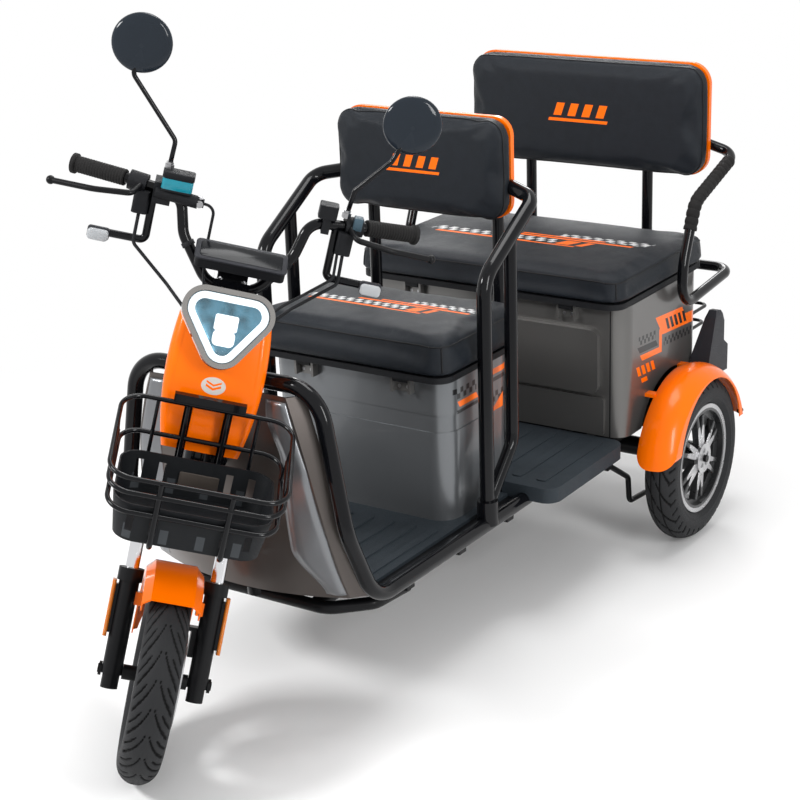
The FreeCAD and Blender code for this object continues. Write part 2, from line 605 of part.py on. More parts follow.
def make_cables():
    """Control cables from the switches and the brake down into the back of the headlamp."""
    # points of each run from the bars to the lamp, its radius
    runs = [([(208, -1191, 1012), (208, -1226, 956), (126, -1266, 900), (44, -1384, 862)], 3.5),
            ([(197, -1191, 1012), (197, -1228, 966), (106, -1288, 910), (30, -1384, 870)], 3.0),
            ([(-206, -1191, 1012), (-206, -1226, 956), (-126, -1266, 900), (-44, -1384, 862)], 3.5),
            ([(-86, -1212, 1060), (-62, -1214, 1058), (-62, -1216, 962), (-58, -1256, 930), (-36, -1384, 868)], 3.0)]
    cables = [tube(points, radius, 18) for points, radius in runs]
    cables = turned(Part.makeCompound(cables))
    for name in ("handlebar", "bar_controls", "headlamp_bezel", "fork_yoke"):
        cables = cables.cut(parts[name])
    parts["control_cables"] = Part.makeCompound([c for c in cables.Solids if c.Volume > 1000])


def guard_tube(radius):
    """The guard hoop and side rails: one tube bent round the whole footwell."""
    half = [(RAIL_X, STEP_REAR_Y - 40, RAIL_Z), (RAIL_X, RAIL_FRONT_Y, RAIL_Z), (HOOP_LOW_X, HOOP_Y, 450),
            (HOOP_HIGH_X, HOOP_Y, HOOP_TOP_Z)]
    return tube(both_sides(half), radius, HOOP_BENDS)


def neck_tube(radius):
    """The tube that rises from the front cross tube to the steering head."""
    return tube([(0, FRONT_CROSS_Y - 2, FRONT_CROSS_Z), (0, -1268, 560), (0, -1398, 604)], radius, 60)


def make_frame():
    """Guard hoop with the side rails, steering head and the carrying frame under the floor."""
    parts["guard_rail"] = guard_tube(RAIL_RADIUS)
    clear_guard = guard_tube(RAIL_RADIUS + WELD_FIT)
    pan_low = FLOOR_TOP - MAT_THICK - FLOOR_THICK
    rear_y = REAR_POST_Y + POST_RADIUS
    spines = []
    for side in (1, -1):
        x = side * SPINE_X
        spines.append(tube([(x, FRONT_CROSS_Y + 8, SPINE_Z), (x, -170, SPINE_Z), (x, -90, SPINE_HIGH_Z),
                            (x, rear_y, SPINE_HIGH_Z)], SPINE_RADIUS, 60))
    front_cross = tube(both_sides([(262, -1060 + BAR_HALF, FRONT_CROSS_Z), (252, -1150, FRONT_CROSS_Z),
                                   (180, FRONT_CROSS_Y, FRONT_CROSS_Z)]), 14, [40, 60, 60, 40])
    spring_plate = block((-266, 266), (-14, 14), (SPINE_HIGH_Z - 12, SPINE_HIGH_Z + 12))
    rear_cross = block((-200, 200), (rear_y - 2 * POST_RADIUS, rear_y), (SPINE_HIGH_Z - 14, SPINE_HIGH_Z + 14))
    across = [s.cut(Part.makeCompound(spines)) for s in (front_cross, spring_plate, rear_cross)]
    parts["chassis"] = Part.makeCompound(spines + across)

    bars = [block((-reach, reach), (y - BAR_HALF, y + BAR_HALF), (BAR_LOW, pan_low)) for y, reach in BAR_ROWS]
    crank = tube([(330, -250, 252), (330, -136, 180), (330, -128, 112), (330, -40, 104)], 7, [20, 18])
    pivot = block((270, 338), (BAR_ROWS[-1][0] - 12, BAR_ROWS[-1][0] + 14), (BAR_LOW, BAR_LOW + 24))
    bars[-1] = fuse([bars[-1], crank, pivot])
    parts["cross_bars"] = Part.makeCompound([b.cut(parts["chassis"]).cut(clear_guard) for b in bars])

    head = fuse([neck_tube(NECK_RADIUS), rod(on_axis(HEAD_LOW), on_axis(HEAD_HIGH), HEAD_RADIUS)])
    head = head.cut(rod(on_axis(HEAD_LOW - 20), on_axis(HEAD_HIGH + 20), STEM_RADIUS + HEAD_FIT))
    parts["head_tube"] = head.cut(clear_guard).cut(parts["chassis"])


def floor_outline(half, front_y, middle_y, rear_y, z, thick):
    """A plate with a straight back and a front edge curved like the leg shield."""
    left, right = v(half, front_y, z), v(-half, front_y, z)
    edges = [Part.Arc(left, v(0, middle_y, z), right).toShape(),
             Part.LineSegment(right, v(-half, rear_y, z)).toShape(),
             Part.LineSegment(v(-half, rear_y, z), v(half, rear_y, z)).toShape(),
             Part.LineSegment(v(half, rear_y, z), left).toShape()]
    return Part.Face(Part.Wire(edges)).extrude(v(0, 0, thick))


def shield_section(z, half, edge, middle):
    """Level section through the shield wall: slanted side flanges and an arched front."""
    w, lean, ahead = SHIELD_WALL, 24, 30
    outer = [v(half, edge, z), v(half - lean, edge - ahead, z)]
    inner = [v(half - w - 1, edge, z), v(half - lean - w, edge - ahead + w, z)]
    mirror = lambda p: v(-p.x, p.y, p.z)
    line = lambda a, b: Part.LineSegment(a, b).toShape()
    return Part.Wire([
        line(outer[0], outer[1]), Part.Arc(outer[1], v(0, middle, z), mirror(outer[1])).toShape(),
        line(mirror(outer[1]), mirror(outer[0])), line(mirror(outer[0]), mirror(inner[0])),
        line(mirror(inner[0]), mirror(inner[1])),
        Part.Arc(mirror(inner[1]), v(0, middle + w, z), inner[1]).toShape(),
        line(inner[1], inner[0]), line(inner[0], outer[0])])


def make_floor():
    """Floor pan, ribbed mat, moulded leg shield and the rear step."""
    under = FLOOR_TOP - MAT_THICK
    clear_guard = guard_tube(RAIL_RADIUS + SEAT_GAP)
    clear_neck = neck_tube(NECK_RADIUS + 1)
    pan_half = RAIL_X - RAIL_RADIUS - 1
    pan = floor_outline(pan_half - 8, -1198, -1287, STEP_REAR_Y, under - FLOOR_THICK, FLOOR_THICK)
    lip = Part.makeLoft([shield_section(254, 272, -1200, -1286), shield_section(under, 274, -1204, -1292)], True, False)
    pan = fuse([pan, lip])
    deck = slab((-REAR_BOX_HALF + BOX_WALL, REAR_BOX_HALF - BOX_WALL), (REAR_BOX_Y[0] + BOX_WALL, REAR_BOX_Y[1] - BOX_WALL),
                (STEP_TOP + 2, STEP_TOP + 5), REAR_BOX_CORNER - BOX_WALL)
    pan = pan.cut(clear_neck).cut(clear_guard)
    parts["floor_pan"] = Part.makeCompound([max(pan.Solids, key=lambda solid: solid.Volume), deck])
    mat = floor_outline(pan_half - 22, -1182, -1266, STEP_FRONT_Y - 1, under, MAT_THICK)
    ribs = [slab((x - 10, x + 10), (-1160, FRONT_BOX_Y[0] - 40), (FLOOR_TOP, FLOOR_TOP + MAT_RIB), 8)
            for x in range(-224, 225, 56)]
    parts["floor_mat"] = fuse([mat] + ribs).cut(clear_neck)

    skirt_low = under + SEAT_GAP
    x, y = (-STEP_HALF, STEP_HALF), (STEP_FRONT_Y, STEP_REAR_Y)
    step = slab(x, y, (skirt_low, STEP_TOP), 36)
    hollow = slab((x[0] + 4, x[1] - 4), (y[0] + 4, y[1] - 4), (skirt_low - 10, STEP_TOP - STEP_THICK), 32)
    ribs = [slab((rx - 13, rx + 13), (STEP_FRONT_Y + 40, STEP_REAR_Y - 30), (STEP_TOP, STEP_TOP + 3), 8)
            for rx in range(-320, 321, 64)]
    foot = slab((-FRONT_BOX_HALF - SEAT_GAP, FRONT_BOX_HALF + SEAT_GAP), (FRONT_BOX_Y[0], FRONT_BOX_Y[1] + SEAT_GAP),
                (skirt_low - 10, STEP_TOP + 10), FRONT_BOX_CORNER)
    parts["rear_step"] = fuse([step.cut(hollow)] + ribs).cut(foot).cut(clear_guard)

    # height, half width, edge y, middle y
    table = [(FLOOR_TOP - MAT_THICK + SEAT_GAP, 274, -1204, -1292), (430, 264, -1256, -1318), (580, 240, -1280, -1322), (726, 196, -1282, -1306)]
    shield = Part.makeLoft([shield_section(*row) for row in table], True, False)
    head_hole = rod(on_axis(480), on_axis(HEAD_HIGH + 60), HEAD_RADIUS + 3)
    parts["leg_shield"] = shield.cut(neck_tube(NECK_RADIUS + 3)).cut(head_hole).cut(clear_guard)


def seat_box(half, y, low, top, radius):
    """Open-topped moulded box, a little narrower at the foot."""
    d, w = BOX_DRAFT, BOX_WALL
    outer = Part.makeLoft([rounded_rectangle((-half + d, half - d), (y[0] + d, y[1]), low, radius),
                           rounded_rectangle((-half, half), y, top, radius)], True, True)
    inner = Part.makeLoft([
        rounded_rectangle((-half + d + w, half - d - w), (y[0] + d + w, y[1] - w), low + w, radius - w),
        rounded_rectangle((-half + w, half - w), (y[0] + w, y[1] - w), top + 1, radius - w)], True, True)
    return outer.cut(inner)


def seat_base(half, y, low, hinge_y, hinge_x):
    """Board under a cushion with its hinge knuckles."""
    board = slab((-half + 10, half - 10), (y[0] + 12, y[1] - 8), (low, low + BASE_THICK), 40)
    return board.fuse(knuckles(hinge_y, low, (-hinge_x, hinge_x)))


def make_front_seat():
    """Storage box with the battery, lid with its cushion, backrest and side arms."""
    box = seat_box(FRONT_BOX_HALF, FRONT_BOX_Y, FLOOR_TOP, FRONT_BOX_TOP, FRONT_BOX_CORNER)
    lean = BOX_DRAFT * (FRONT_BOX_TOP - BAND_Z[0]) / (FRONT_BOX_TOP - FLOOR_TOP)
    inset = lean + BAND_DEPTH
    ring = slab((-FRONT_BOX_HALF - 5, FRONT_BOX_HALF + 5), (FRONT_BOX_Y[0] - 5, FRONT_BOX_Y[1] - 60), BAND_Z, FRONT_BOX_CORNER)
    core = slab((-FRONT_BOX_HALF + inset, FRONT_BOX_HALF - inset), (FRONT_BOX_Y[0] + inset, FRONT_BOX_Y[1] + 40), BAND_Z,
                FRONT_BOX_CORNER - inset)
    parts["front_box"] = box.cut(ring.cut(core))
    floor = FLOOR_TOP + BOX_WALL + SEAT_GAP
    parts["battery_pack"] = block((-190, 190), (-790, -610), (floor, floor + 170))
    low = FRONT_BOX_TOP + LID_GAP
    hinge_y = FRONT_BOX_Y[0] - HINGE_AHEAD
    parts["front_cushion"] = slab((-FRONT_CUSHION_HALF, FRONT_CUSHION_HALF), FRONT_CUSHION_Y, (low + BASE_THICK, CUSHION_TOP), 44)
    parts["front_seat_base"] = seat_base(FRONT_CUSHION_HALF, FRONT_CUSHION_Y, low, hinge_y, FRONT_HINGE_X)
    shell_y = FRONT_BACK_Y + PAD_THICK
    shell_back = shell_y + SHELL_THICK
    parts["front_backrest_pad"] = upright((-FRONT_BACK_HALF, FRONT_BACK_HALF), (FRONT_BACK_Y, shell_y), FRONT_BACK_Z, 44)
    parts["front_backrest_shell"] = upright((-FRONT_BACK_HALF + 2, FRONT_BACK_HALF - 2), (shell_y, shell_back), FRONT_BACK_Z, 42)
    clear_guard = guard_tube(RAIL_RADIUS + WELD_FIT)
    arms = []
    for side, name in LEFT_AND_RIGHT:
        x = side * RAIL_X
        arm = tube([(x, ARM_Y, RAIL_Z), (x, ARM_Y, ARM_BEND_Z), (x, -545, 975), (side * 200, -508, 992)], ARM_RADIUS, [70, 44])
        brace = tube([(x, -650, 908), (x, -650, 440), (x, ARM_Y + 7, 330)], ARM_RADIUS - 1.5, 60)
        cap = rod((x, ARM_Y, RAIL_Z), (x, ARM_Y, RAIL_Z + 56), 24)
        arms.append(fuse([arm, brace, cap]).cut(clear_guard).cut(parts["front_backrest_shell"]).cut(parts["front_backrest_pad"]))
        arms[-1] = max(arms[-1].Solids, key=lambda solid: solid.Volume)
    parts["front_arms"] = Part.makeCompound(arms)
    post_y = shell_back + POST_RADIUS
    return [rod((side * FRONT_POST_X, post_y, STEP_TOP + SEAT_GAP), (side * FRONT_POST_X, post_y, POST_TOP), POST_RADIUS)
            .cut(parts["rear_step"]).cut(parts["front_arms"]) for side in (1, -1)]


def knuckles(y, low, places):
    """Hinge barrels under the front edge of a lid."""
    out = []
    pin_z = low - HINGE_BARREL
    for x in places:
        barrel = rod((x - 18, y, pin_z), (x + 18, y, pin_z), HINGE_BARREL)
        neck = block((x - 18, x + 18), (y - HINGE_BARREL, y + HINGE_BARREL), (pin_z, low + 2))
        bore = rod((x - 19, y, pin_z), (x + 19, y, pin_z), HINGE_PIN_RADIUS + RUNNING_FIT)
        out.append(barrel.fuse(neck).cut(bore))
    return out


def hinge_leaves(y, low, face, hinge_x):
    """Hinge pins with their ears, screwed to the front of a box."""
    out = []
    pin_z = low - HINGE_BARREL
    for x in (-hinge_x, hinge_x):
        pieces = [rod((x - 26, y, pin_z), (x + 26, y, pin_z), HINGE_PIN_RADIUS),
                  block((x - 26, x + 26), (face - 3.3, face - SEAT_GAP), (pin_z - 32, pin_z - 10))]
        for ear in (-26, 20):
            pieces.append(block((x + ear, x + ear + 6), (y - 5, face - SEAT_GAP), (pin_z - 32, pin_z + 4.5)))
        out.append(fuse(pieces))
    return out


def make_rear_seat(front_posts):
    """Hollow rear body in panels, lid with its cushion, backrest, handles and rack."""
    x, (y0, y1), top, corner = REAR_BOX_HALF, REAR_BOX_Y, REAR_BOX_TOP, REAR_BOX_CORNER
    w = BOX_WALL
    low = STEP_TOP + 2
    parts["rear_front_panel"] = block((-x + corner, x - corner), (y0, y0 + w), (low, top))
    door = upright((-x + 66, x - 66), (y0 - SEAT_GAP - 14, y0 - SEAT_GAP), (430, 590), 20)
    lower = upright((-x + 52, x - 52), (y0 - SEAT_GAP - 8, y0 - SEAT_GAP), (low + 4, 420), 8)
    parts["rear_door"] = Part.makeCompound([door, lower])
    body = slab((-x, x), (y0, y1), (low, top), corner)
    body = body.cut(slab((-x + w, x - w), (y0 + w, y1 - w), (low - 1, top + 1), corner - w))
    body = body.cut(block((-x + corner, x - corner), (y0 - 1, y0 + w + 1), (low - 1, top + 1)))
    for side in (1, -1):
        body = body.cut(rod((side * (x - corner), ARCH_Y, ARCH_Z), (side * (x + 10), ARCH_Y, ARCH_Z), ARCH_RADIUS))
    parts["rear_body"] = body
    lid_low = top + LID_GAP
    hinge_y = y0 - HINGE_AHEAD
    parts["rear_seat_base"] = seat_base(REAR_CUSHION_HALF, REAR_CUSHION_Y, lid_low, hinge_y, REAR_HINGE_X)
    parts["seat_hinges"] = Part.makeCompound(
        hinge_leaves(FRONT_BOX_Y[0] - HINGE_AHEAD, FRONT_BOX_TOP + LID_GAP, FRONT_BOX_Y[0], FRONT_HINGE_X)
        + hinge_leaves(hinge_y, lid_low, y0, REAR_HINGE_X))
    parts["rear_cushion"] = slab((-REAR_CUSHION_HALF, REAR_CUSHION_HALF), REAR_CUSHION_Y,
                                 (lid_low + BASE_THICK, REAR_CUSHION_TOP), 46)
    shell_y = REAR_BACK_Y + PAD_THICK
    pad = upright((-REAR_BACK_HALF, REAR_BACK_HALF), (REAR_BACK_Y, shell_y), REAR_BACK_Z, 56)
    shell = upright((-REAR_BACK_HALF + 2, REAR_BACK_HALF - 2), (shell_y, shell_y + SHELL_THICK), REAR_BACK_Z, 54)
    posts, clear = [], []
    for side in (1, -1):
        foot = (side * REAR_POST_X, REAR_POST_Y, SPINE_HIGH_Z + 14 + SEAT_GAP)
        posts.append(rod(foot, (foot[0], foot[1], POST_TOP), POST_RADIUS))
        clear.append(rod(foot, (foot[0], foot[1], POST_TOP + SEAT_GAP), POST_RADIUS + SEAT_GAP))
    rack_y = REAR_POST_Y + POST_RADIUS + 3
    for z, reach in ((520, 344), (473, 336)):
        posts.append(tube(both_sides([(reach, y1 + SEAT_GAP, z), (reach, rack_y, z)]), 4.5, 24))
    clear = Part.makeCompound(clear)
    parts["rear_backrest_pad"] = pad.cut(clear)
    parts["rear_backrest_shell"] = shell.cut(clear)
    parts["backrest_posts"] = Part.makeCompound(front_posts + [fuse(posts)])
    back = shell_y + SHELL_THICK + HANDLE_RADIUS + SEAT_GAP
    low_back = REAR_POST_Y + POST_RADIUS + HANDLE_RADIUS + SEAT_GAP
    knee, foot = (HANDLE_X, 75, 846), (HANDLE_X, 12, 700)
    half = [(250, back, 962), (HANDLE_X, back, 922), knee, foot, (HANDLE_X, 5, 594), (HANDLE_X, low_back, 622)]
    bends = [40, 60, 120, 55, 45, 45, 55, 120, 60, 40]
    parts["rear_handles"] = tube(both_sides(half), HANDLE_RADIUS, bends)
    grips = []
    for side in (1, -1):
        path = [(side * HANDLE_X, 276.2, 911.2), (side * knee[0],) + knee[1:], (side * HANDLE_X, 47.3, 781.7)]
        grips.append(tube(path, HANDLE_RADIUS + 4, 60).cut(tube(path, HANDLE_RADIUS + SEAT_GAP, 60)))
    parts["handle_grips"] = Part.makeCompound(grips)


def rear_fender():
    """Left rear fender about its wheel's middle: domed crown, outer skirt, rounded tips."""
    x0, x1 = FENDER_X
    r, w = FENDER_CROWN, FENDER_WALL
    middle = (x0 + x1) / 2 - 3
    outer = Part.Arc(v(x0, 0, r - 11), v(middle, 0, r), v(x1, 0, r - 28)).toShape()
    inner = Part.Arc(v(x1 - w, 0, r - 28), v(middle, 0, r - w), v(x0, 0, r - 11 - w)).toShape()
    edges = [outer, Part.LineSegment(v(x1, 0, r - 28), v(x1, 0, SKIRT_RADIUS)).toShape(),
             Part.LineSegment(v(x1, 0, SKIRT_RADIUS), v(x1 - w, 0, SKIRT_RADIUS)).toShape(),
             Part.LineSegment(v(x1 - w, 0, SKIRT_RADIUS), v(x1 - w, 0, r - 28)).toShape(), inner,
             Part.LineSegment(v(x0, 0, r - 11 - w), v(x0, 0, r - 11)).toShape()]
    ring = Part.Face(Part.Wire(edges)).revolve(v(0, 0, 0), v(1, 0, 0), 360)
    front = upright((x0 - 1, x1 + 1), (-r - 10, 0), (39, r + 60), 36)
    rear = upright((x0 - 1, x1 + 1), (0, r + 10), (51, r + 60), 12)
    opening = Part.makeCylinder(178, 40, v(x1 - 20, 8, 29), v(1, 0, 0))
    return fuse([ring.common(front), ring.common(rear)]).cut(opening)


def make_rear_wheels_cover():
    """Fenders, tail lamps and the rear axle with its motor."""
    fender = rear_fender()
    fender.translate(v(0, 0, TYRE_RADIUS))
    ties = [block((REAR_BOX_HALF + SEAT_GAP, FENDER_X[0] + 4), (y - 12, y + 12), (z - 9, z)) for y, z in ((-118, 407), (66, 429))]
    fender = fuse([fender] + ties)
    parts["rear_fenders"] = Part.makeCompound([fender, mirrored(fender)])

    # y and z of the lamp housing seen from the side
    side_view = [(116, 380), (118, 418), (154, 528), (170, 546), (194, 542), (211, 510), (211, 458), (236, 440), (236, 372)]
    a, b = LAMP_X
    front_view = [(a, 360), (b, 360), (b, 532), (b - 6, 550), (b - 24, 550), (a, 430)]
    housing = polygon([(a - 1, y, z) for y, z in side_view]).extrude(v(b - a + 2, 0, 0))
    housing = housing.common(polygon([(x, 100, z) for x, z in front_view]).extrude(v(0, 160, 0)))
    housing = housing.cut(Part.makeCylinder(FENDER_CROWN + SEAT_GAP, 200, v(a - 50, 0, TYRE_RADIUS), v(1, 0, 0)))
    lens = upright((a + 8, b - 6), (236 + SEAT_GAP, 246), (380, 432), 6)
    parts["tail_lamp_housings"] = Part.makeCompound([housing, mirrored(housing)])
    parts["tail_lamp_lenses"] = Part.makeCompound([lens, mirrored(lens)])

    z = TYRE_RADIUS
    axle = [rod((-REAR_TRACK_HALF - 44, 0, z), (REAR_TRACK_HALF + 44, 0, z), AXLE_RADIUS), rod((-392, 0, z), (392, 0, z), 24),
            rod((-90, 0, z), (90, 0, z), 75)]
    arm_front = BAR_ROWS[-1][0] + BAR_HALF + SEAT_GAP
    spring_top = SPINE_HIGH_Z - 12 - SEAT_GAP
    for side in (1, -1):
        axle.append(rod((side * 384, 0, z), (side * 397.5, 0, z), 55))
        axle.append(block(span(side, 188, 212), (arm_front, 0), (z + 19, z + 43)))
        axle.append(block(span(side, 180, 220), (-30, 30), (z, z + 30)))
        axle.append(rod((side * 240, 0, z), (side * 240, 0, spring_top), 22))
        axle.append(rod((side * 240, 0, z + 30), (side * 240, 0, spring_top - 8), 30))
    parts["rear_axle"] = fuse(axle)


make_wheels()
make_fork()
make_nose()
make_basket()
make_bars()
make_cables()
make_frame()
make_floor()
make_rear_seat(make_front_seat())
make_rear_wheels_cover()

os.makedirs("parts", exist_ok=True)
whole_box = FreeCAD.BoundBox()
for name, shape in parts.items():
    moved = shape.copy()
    moved.translate(v(0, -ORIGIN_Y, 0))
    whole_box.add(moved.BoundBox)
    moved.exportStep("parts/%s.step" % name)
    if not shape.isValid():
        print("not valid", name)
    print(name, len(shape.Solids), "solids")
print("nodes", len(parts), whole_box)
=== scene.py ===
import bmesh
import bpy
import math
from mathutils import Matrix, Vector
from mathutils.bvhtree import BVHTree


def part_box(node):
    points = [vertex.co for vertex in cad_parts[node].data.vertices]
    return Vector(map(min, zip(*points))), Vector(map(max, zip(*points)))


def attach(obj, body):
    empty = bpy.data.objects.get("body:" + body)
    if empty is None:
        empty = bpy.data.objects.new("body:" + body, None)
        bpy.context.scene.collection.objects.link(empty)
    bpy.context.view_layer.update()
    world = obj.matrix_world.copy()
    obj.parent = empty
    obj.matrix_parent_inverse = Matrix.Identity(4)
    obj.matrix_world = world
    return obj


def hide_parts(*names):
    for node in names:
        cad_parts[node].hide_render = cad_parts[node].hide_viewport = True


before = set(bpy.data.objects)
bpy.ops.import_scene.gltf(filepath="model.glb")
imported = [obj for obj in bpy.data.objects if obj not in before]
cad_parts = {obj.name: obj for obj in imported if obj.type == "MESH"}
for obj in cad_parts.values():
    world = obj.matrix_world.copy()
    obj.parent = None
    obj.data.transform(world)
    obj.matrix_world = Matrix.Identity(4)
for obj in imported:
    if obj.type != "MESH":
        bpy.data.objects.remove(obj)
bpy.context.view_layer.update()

# Places are given in millimetres as they were laid out, with the rear axle over y = 0.
MM = 0.001
REAR_AXLE_Y = 0.7218
RAKE = math.radians(23.8)
STEER = math.radians(40.0)
HEAD_FOOT = Vector((0, -1.650 + REAR_AXLE_Y, 0))
STEER_AXIS = Vector((0, math.sin(RAKE), math.cos(RAKE)))
LAYOUT = Matrix.Translation((0, REAR_AXLE_Y, 0)) @ Matrix.Scale(MM, 4)
TURN = Matrix.Translation(HEAD_FOOT) @ Matrix.Rotation(STEER, 4, STEER_AXIS) @ Matrix.Translation(-HEAD_FOOT)
STRAIGHT = TURN @ LAYOUT  # steering parts laid out straight ahead
FORK = TURN @ Matrix.Translation(HEAD_FOOT) @ Matrix.Rotation(-RAKE, 4, "X") @ Matrix.Scale(MM, 4)
FACING_AHEAD = Matrix.Rotation(math.radians(90), 4, "X")


# nodes and finishes

def join(tree, value, socket):
    """Links an output to a socket, or sets the socket to a value."""
    value = value.socket if isinstance(value, Value) else value
    if isinstance(value, bpy.types.NodeSocket):
        tree.links.new(value, socket)
    else:
        socket.default_value = value


def add_node(tree, kind, settings=None, inputs=None):
    """Any node: its settings first, then the values or links of its sockets."""
    node = tree.nodes.new(kind)
    for key, value in (settings or {}).items():
        setattr(node, key, value)
    for key, value in (inputs or {}).items():
        join(tree, value, node.inputs[key])
    return node


class Value:
    """A number socket; an expression on values adds its Math nodes."""

    def __init__(self, finish, socket):
        self.finish, self.socket = finish, socket

    def math(self, operation, *others):
        node = self.finish.add("ShaderNodeMath", {"operation": operation}, dict(enumerate((self,) + others)))
        return Value(self.finish, node.outputs[0])

    def __add__(self, other):
        return self.math("ADD", other)

    __radd__ = __add__

    def __sub__(self, other):
        return self.math("SUBTRACT", other)

    def __rsub__(self, other):
        return self.math("MULTIPLY", -1.0).math("ADD", other)

    def __mul__(self, other):
        return self.math("MULTIPLY", other)

    __rmul__ = __mul__

    def __truediv__(self, other):
        return self.math("DIVIDE", other)

    def __mod__(self, other):
        return self.math("FLOORED_MODULO", other)

    def __abs__(self):
        return self.math("ABSOLUTE")

    def __gt__(self, other):
        return self.math("GREATER_THAN", other)

    def __lt__(self, other):
        return self.math("LESS_THAN", other)

    def ramp(self, low, high):
        """0 below low, 1 above high, smooth between."""
        node = self.finish.add("ShaderNodeMapRange", {"interpolation_type": "SMOOTHSTEP"},
                               {"Value": self, "From Min": low, "From Max": high})
        return Value(self.finish, node.outputs[0])

    def within(self, low, high):
        """1 between two limits, 0 outside."""
        return (self > low) * (self < high)


class Finish:
    """A material on the standard shader, with its nodes."""

    def __init__(self, name, slot, base, rough, **sockets):
        self.slot = slot
        self.material = bpy.data.materials.new(name)
        self.material.use_nodes = True
        self.tree = self.material.node_tree
        self.shader = self.tree.nodes["Principled BSDF"]
        self.put("Base Color", (*base, 1.0))
        self.put("Roughness", rough)
        for socket, value in sockets.items():
            self.put(socket.replace("_", " "), value)
        place = self.add("ShaderNodeTexCoord")
        self.place = place.outputs["Object"]
        split = self.add("ShaderNodeSeparateXYZ", {}, {0: self.place})
        self.x, self.y, self.z = (Value(self, s) for s in split.outputs)

    def add(self, kind, settings=None, inputs=None):
        return add_node(self.tree, kind, settings, inputs)

    def vector(self, operation, first, second=None, out="Value"):
        inputs = {0: first} if second is None else {0: first, 1: second}
        return self.add("ShaderNodeVectorMath", {"operation": operation}, inputs).outputs[out]

    def put(self, socket, value):
        join(self.tree, value, self.shader.inputs[socket])

    def noise(self, scale, detail=2.0, rough=0.5, stretch=None):
        place = self.place
        if stretch:
            place = self.add("ShaderNodeMapping", {}, {"Vector": place, "Scale": stretch}).outputs[0]
        node = self.add("ShaderNodeTexNoise", {},
                        {"Vector": place, "Scale": scale, "Detail": detail, "Roughness": rough})
        return Value(self, node.outputs["Fac"])

    def cells(self, scale, feature="F1"):
        node = self.add("ShaderNodeTexVoronoi", {"feature": feature}, {"Vector": self.place, "Scale": scale})
        return Value(self, node.outputs["Distance"])

    def blend(self, share, under, over):
        """A colour between two, by a value."""
        under, over = ((*c, 1.0) if isinstance(c, tuple) else c for c in (under, over))
        node = self.add("ShaderNodeMix", {"data_type": "RGBA"}, {0: share, 6: under, 7: over})
        return node.outputs[2]

    def bump(self, height, depth, strength=1.0):
        node = self.add("ShaderNodeBump", {}, {"Height": height, "Distance": depth, "Strength": strength})
        self.put("Normal", node.outputs[0])

    def local(self, matrix):
        """Coordinates in another frame, in its own units."""
        away = self.vector("SUBTRACT", self.place, matrix.translation, "Vector")
        columns = [matrix.col[i].xyz for i in range(3)]
        return [Value(self, self.vector("DOT_PRODUCT", away, c / c.length_squared)) for c in columns]

    def about(self, centre, axis):
        """Distance along an axis and radius from it, in metres."""
        away = self.vector("SUBTRACT", self.place, centre, "Vector")
        along = Value(self, self.vector("DOT_PRODUCT", away, axis))
        length = Value(self, self.vector("LENGTH", away))
        return along, (length * length - along * along).math("SQRT")


def checks(across, up, size):
    """Chequers: 1 on every other square."""
    return ((across / size).math("FLOOR") + (up / size).math("FLOOR")) % 2.0


def shade(colour, share):
    """A colour made darker or lighter."""
    return tuple(min(1.0, c * share) for c in colour)


def lacquer(name, slot, base, rough=0.22, metallic=0.0, coat=0.4, shine=0.12):
    """Glossy paint: slight tone and gloss variation, orange peel under a clear coat."""
    f = Finish(name, slot, base, rough, Metallic=metallic, Coat_Weight=coat, Coat_Roughness=0.04,
               Coat_IOR=1.3, Specular_IOR_Level=shine)
    f.colour = f.blend(f.noise(6.0, 3.0), shade(base, 0.92), shade(base, 1.07))
    f.put("Base Color", f.colour)
    f.put("Roughness", f.noise(14.0, 4.0) * 0.1 + (rough - 0.05))
    f.bump(f.noise(260.0, 1.0), 0.00006)
    return f


def moulded(name, slot, base, rough=0.52, grain=1400.0, depth=0.0003):
    """Moulded plastic or rubber with a fine grain."""
    f = Finish(name, slot, base, rough, Specular_IOR_Level=0.16)
    f.colour = f.blend(f.noise(9.0, 4.0), shade(base, 0.8), shade(base, 1.25))
    f.put("Base Color", f.colour)
    f.put("Roughness", f.noise(30.0, 3.0) * 0.14 + (rough - 0.07))
    f.bump(f.cells(grain), depth)
    return f


def metal(name, slot, base, rough=0.2, stretch=(1.0, 1.0, 40.0)):
    """Bare metal with faint drawn lines."""
    f = Finish(name, slot, base, rough, Metallic=1.0)
    lines = f.noise(40.0, 3.0, 0.6, stretch)
    f.put("Roughness", lines * 0.16 + (rough - 0.06))
    f.put("Base Color", f.blend(f.noise(18.0, 3.0), shade(base, 0.86), base))
    f.bump(lines, 0.0001)
    return f


def printed(f, prints):
    """Lays prints over a finish's colour."""
    for share, ink in prints:
        f.colour = f.blend(share, f.colour, ink)
    f.put("Base Color", f.colour)


def vinyl(name, mask):
    """Charcoal vinyl with a leather grain; the mask prints a pattern on it."""
    base = (0.0088, 0.0112, 0.0150)
    f = Finish(name, "seat_vinyl", base, 0.42, Specular_IOR_Level=0.17)
    fine, coarse = f.cells(620.0, "DISTANCE_TO_EDGE"), f.noise(55.0, 4.0)
    f.colour = f.blend(coarse, shade(base, 0.78), shade(base, 1.3))
    printed(f, mask(f))
    f.put("Roughness", f.noise(25.0, 3.0) * 0.16 + 0.36)
    f.bump(fine.ramp(0.0, 0.35) * 0.6 + coarse * 1.2, 0.0006, 0.6)
    return f


ORANGE = (0.96, 0.155, 0.0)
WHITE_INK = (0.62, 0.62, 0.62)
PALE_INK = (0.6, 0.56, 0.52)
DARK_INK = (0.008, 0.008, 0.009)


def either(values):
    """1 where any of the masks is 1."""
    total = values[0]
    for value in values[1:]:
        total = total.math("MAXIMUM", value)
    return total


def slant(along, across, lean, start, end, low, high):
    """A parallelogram stripe: between two ends, leaning with height."""
    run = along - across * lean
    return run.within(start, end) * across.within(low, high)


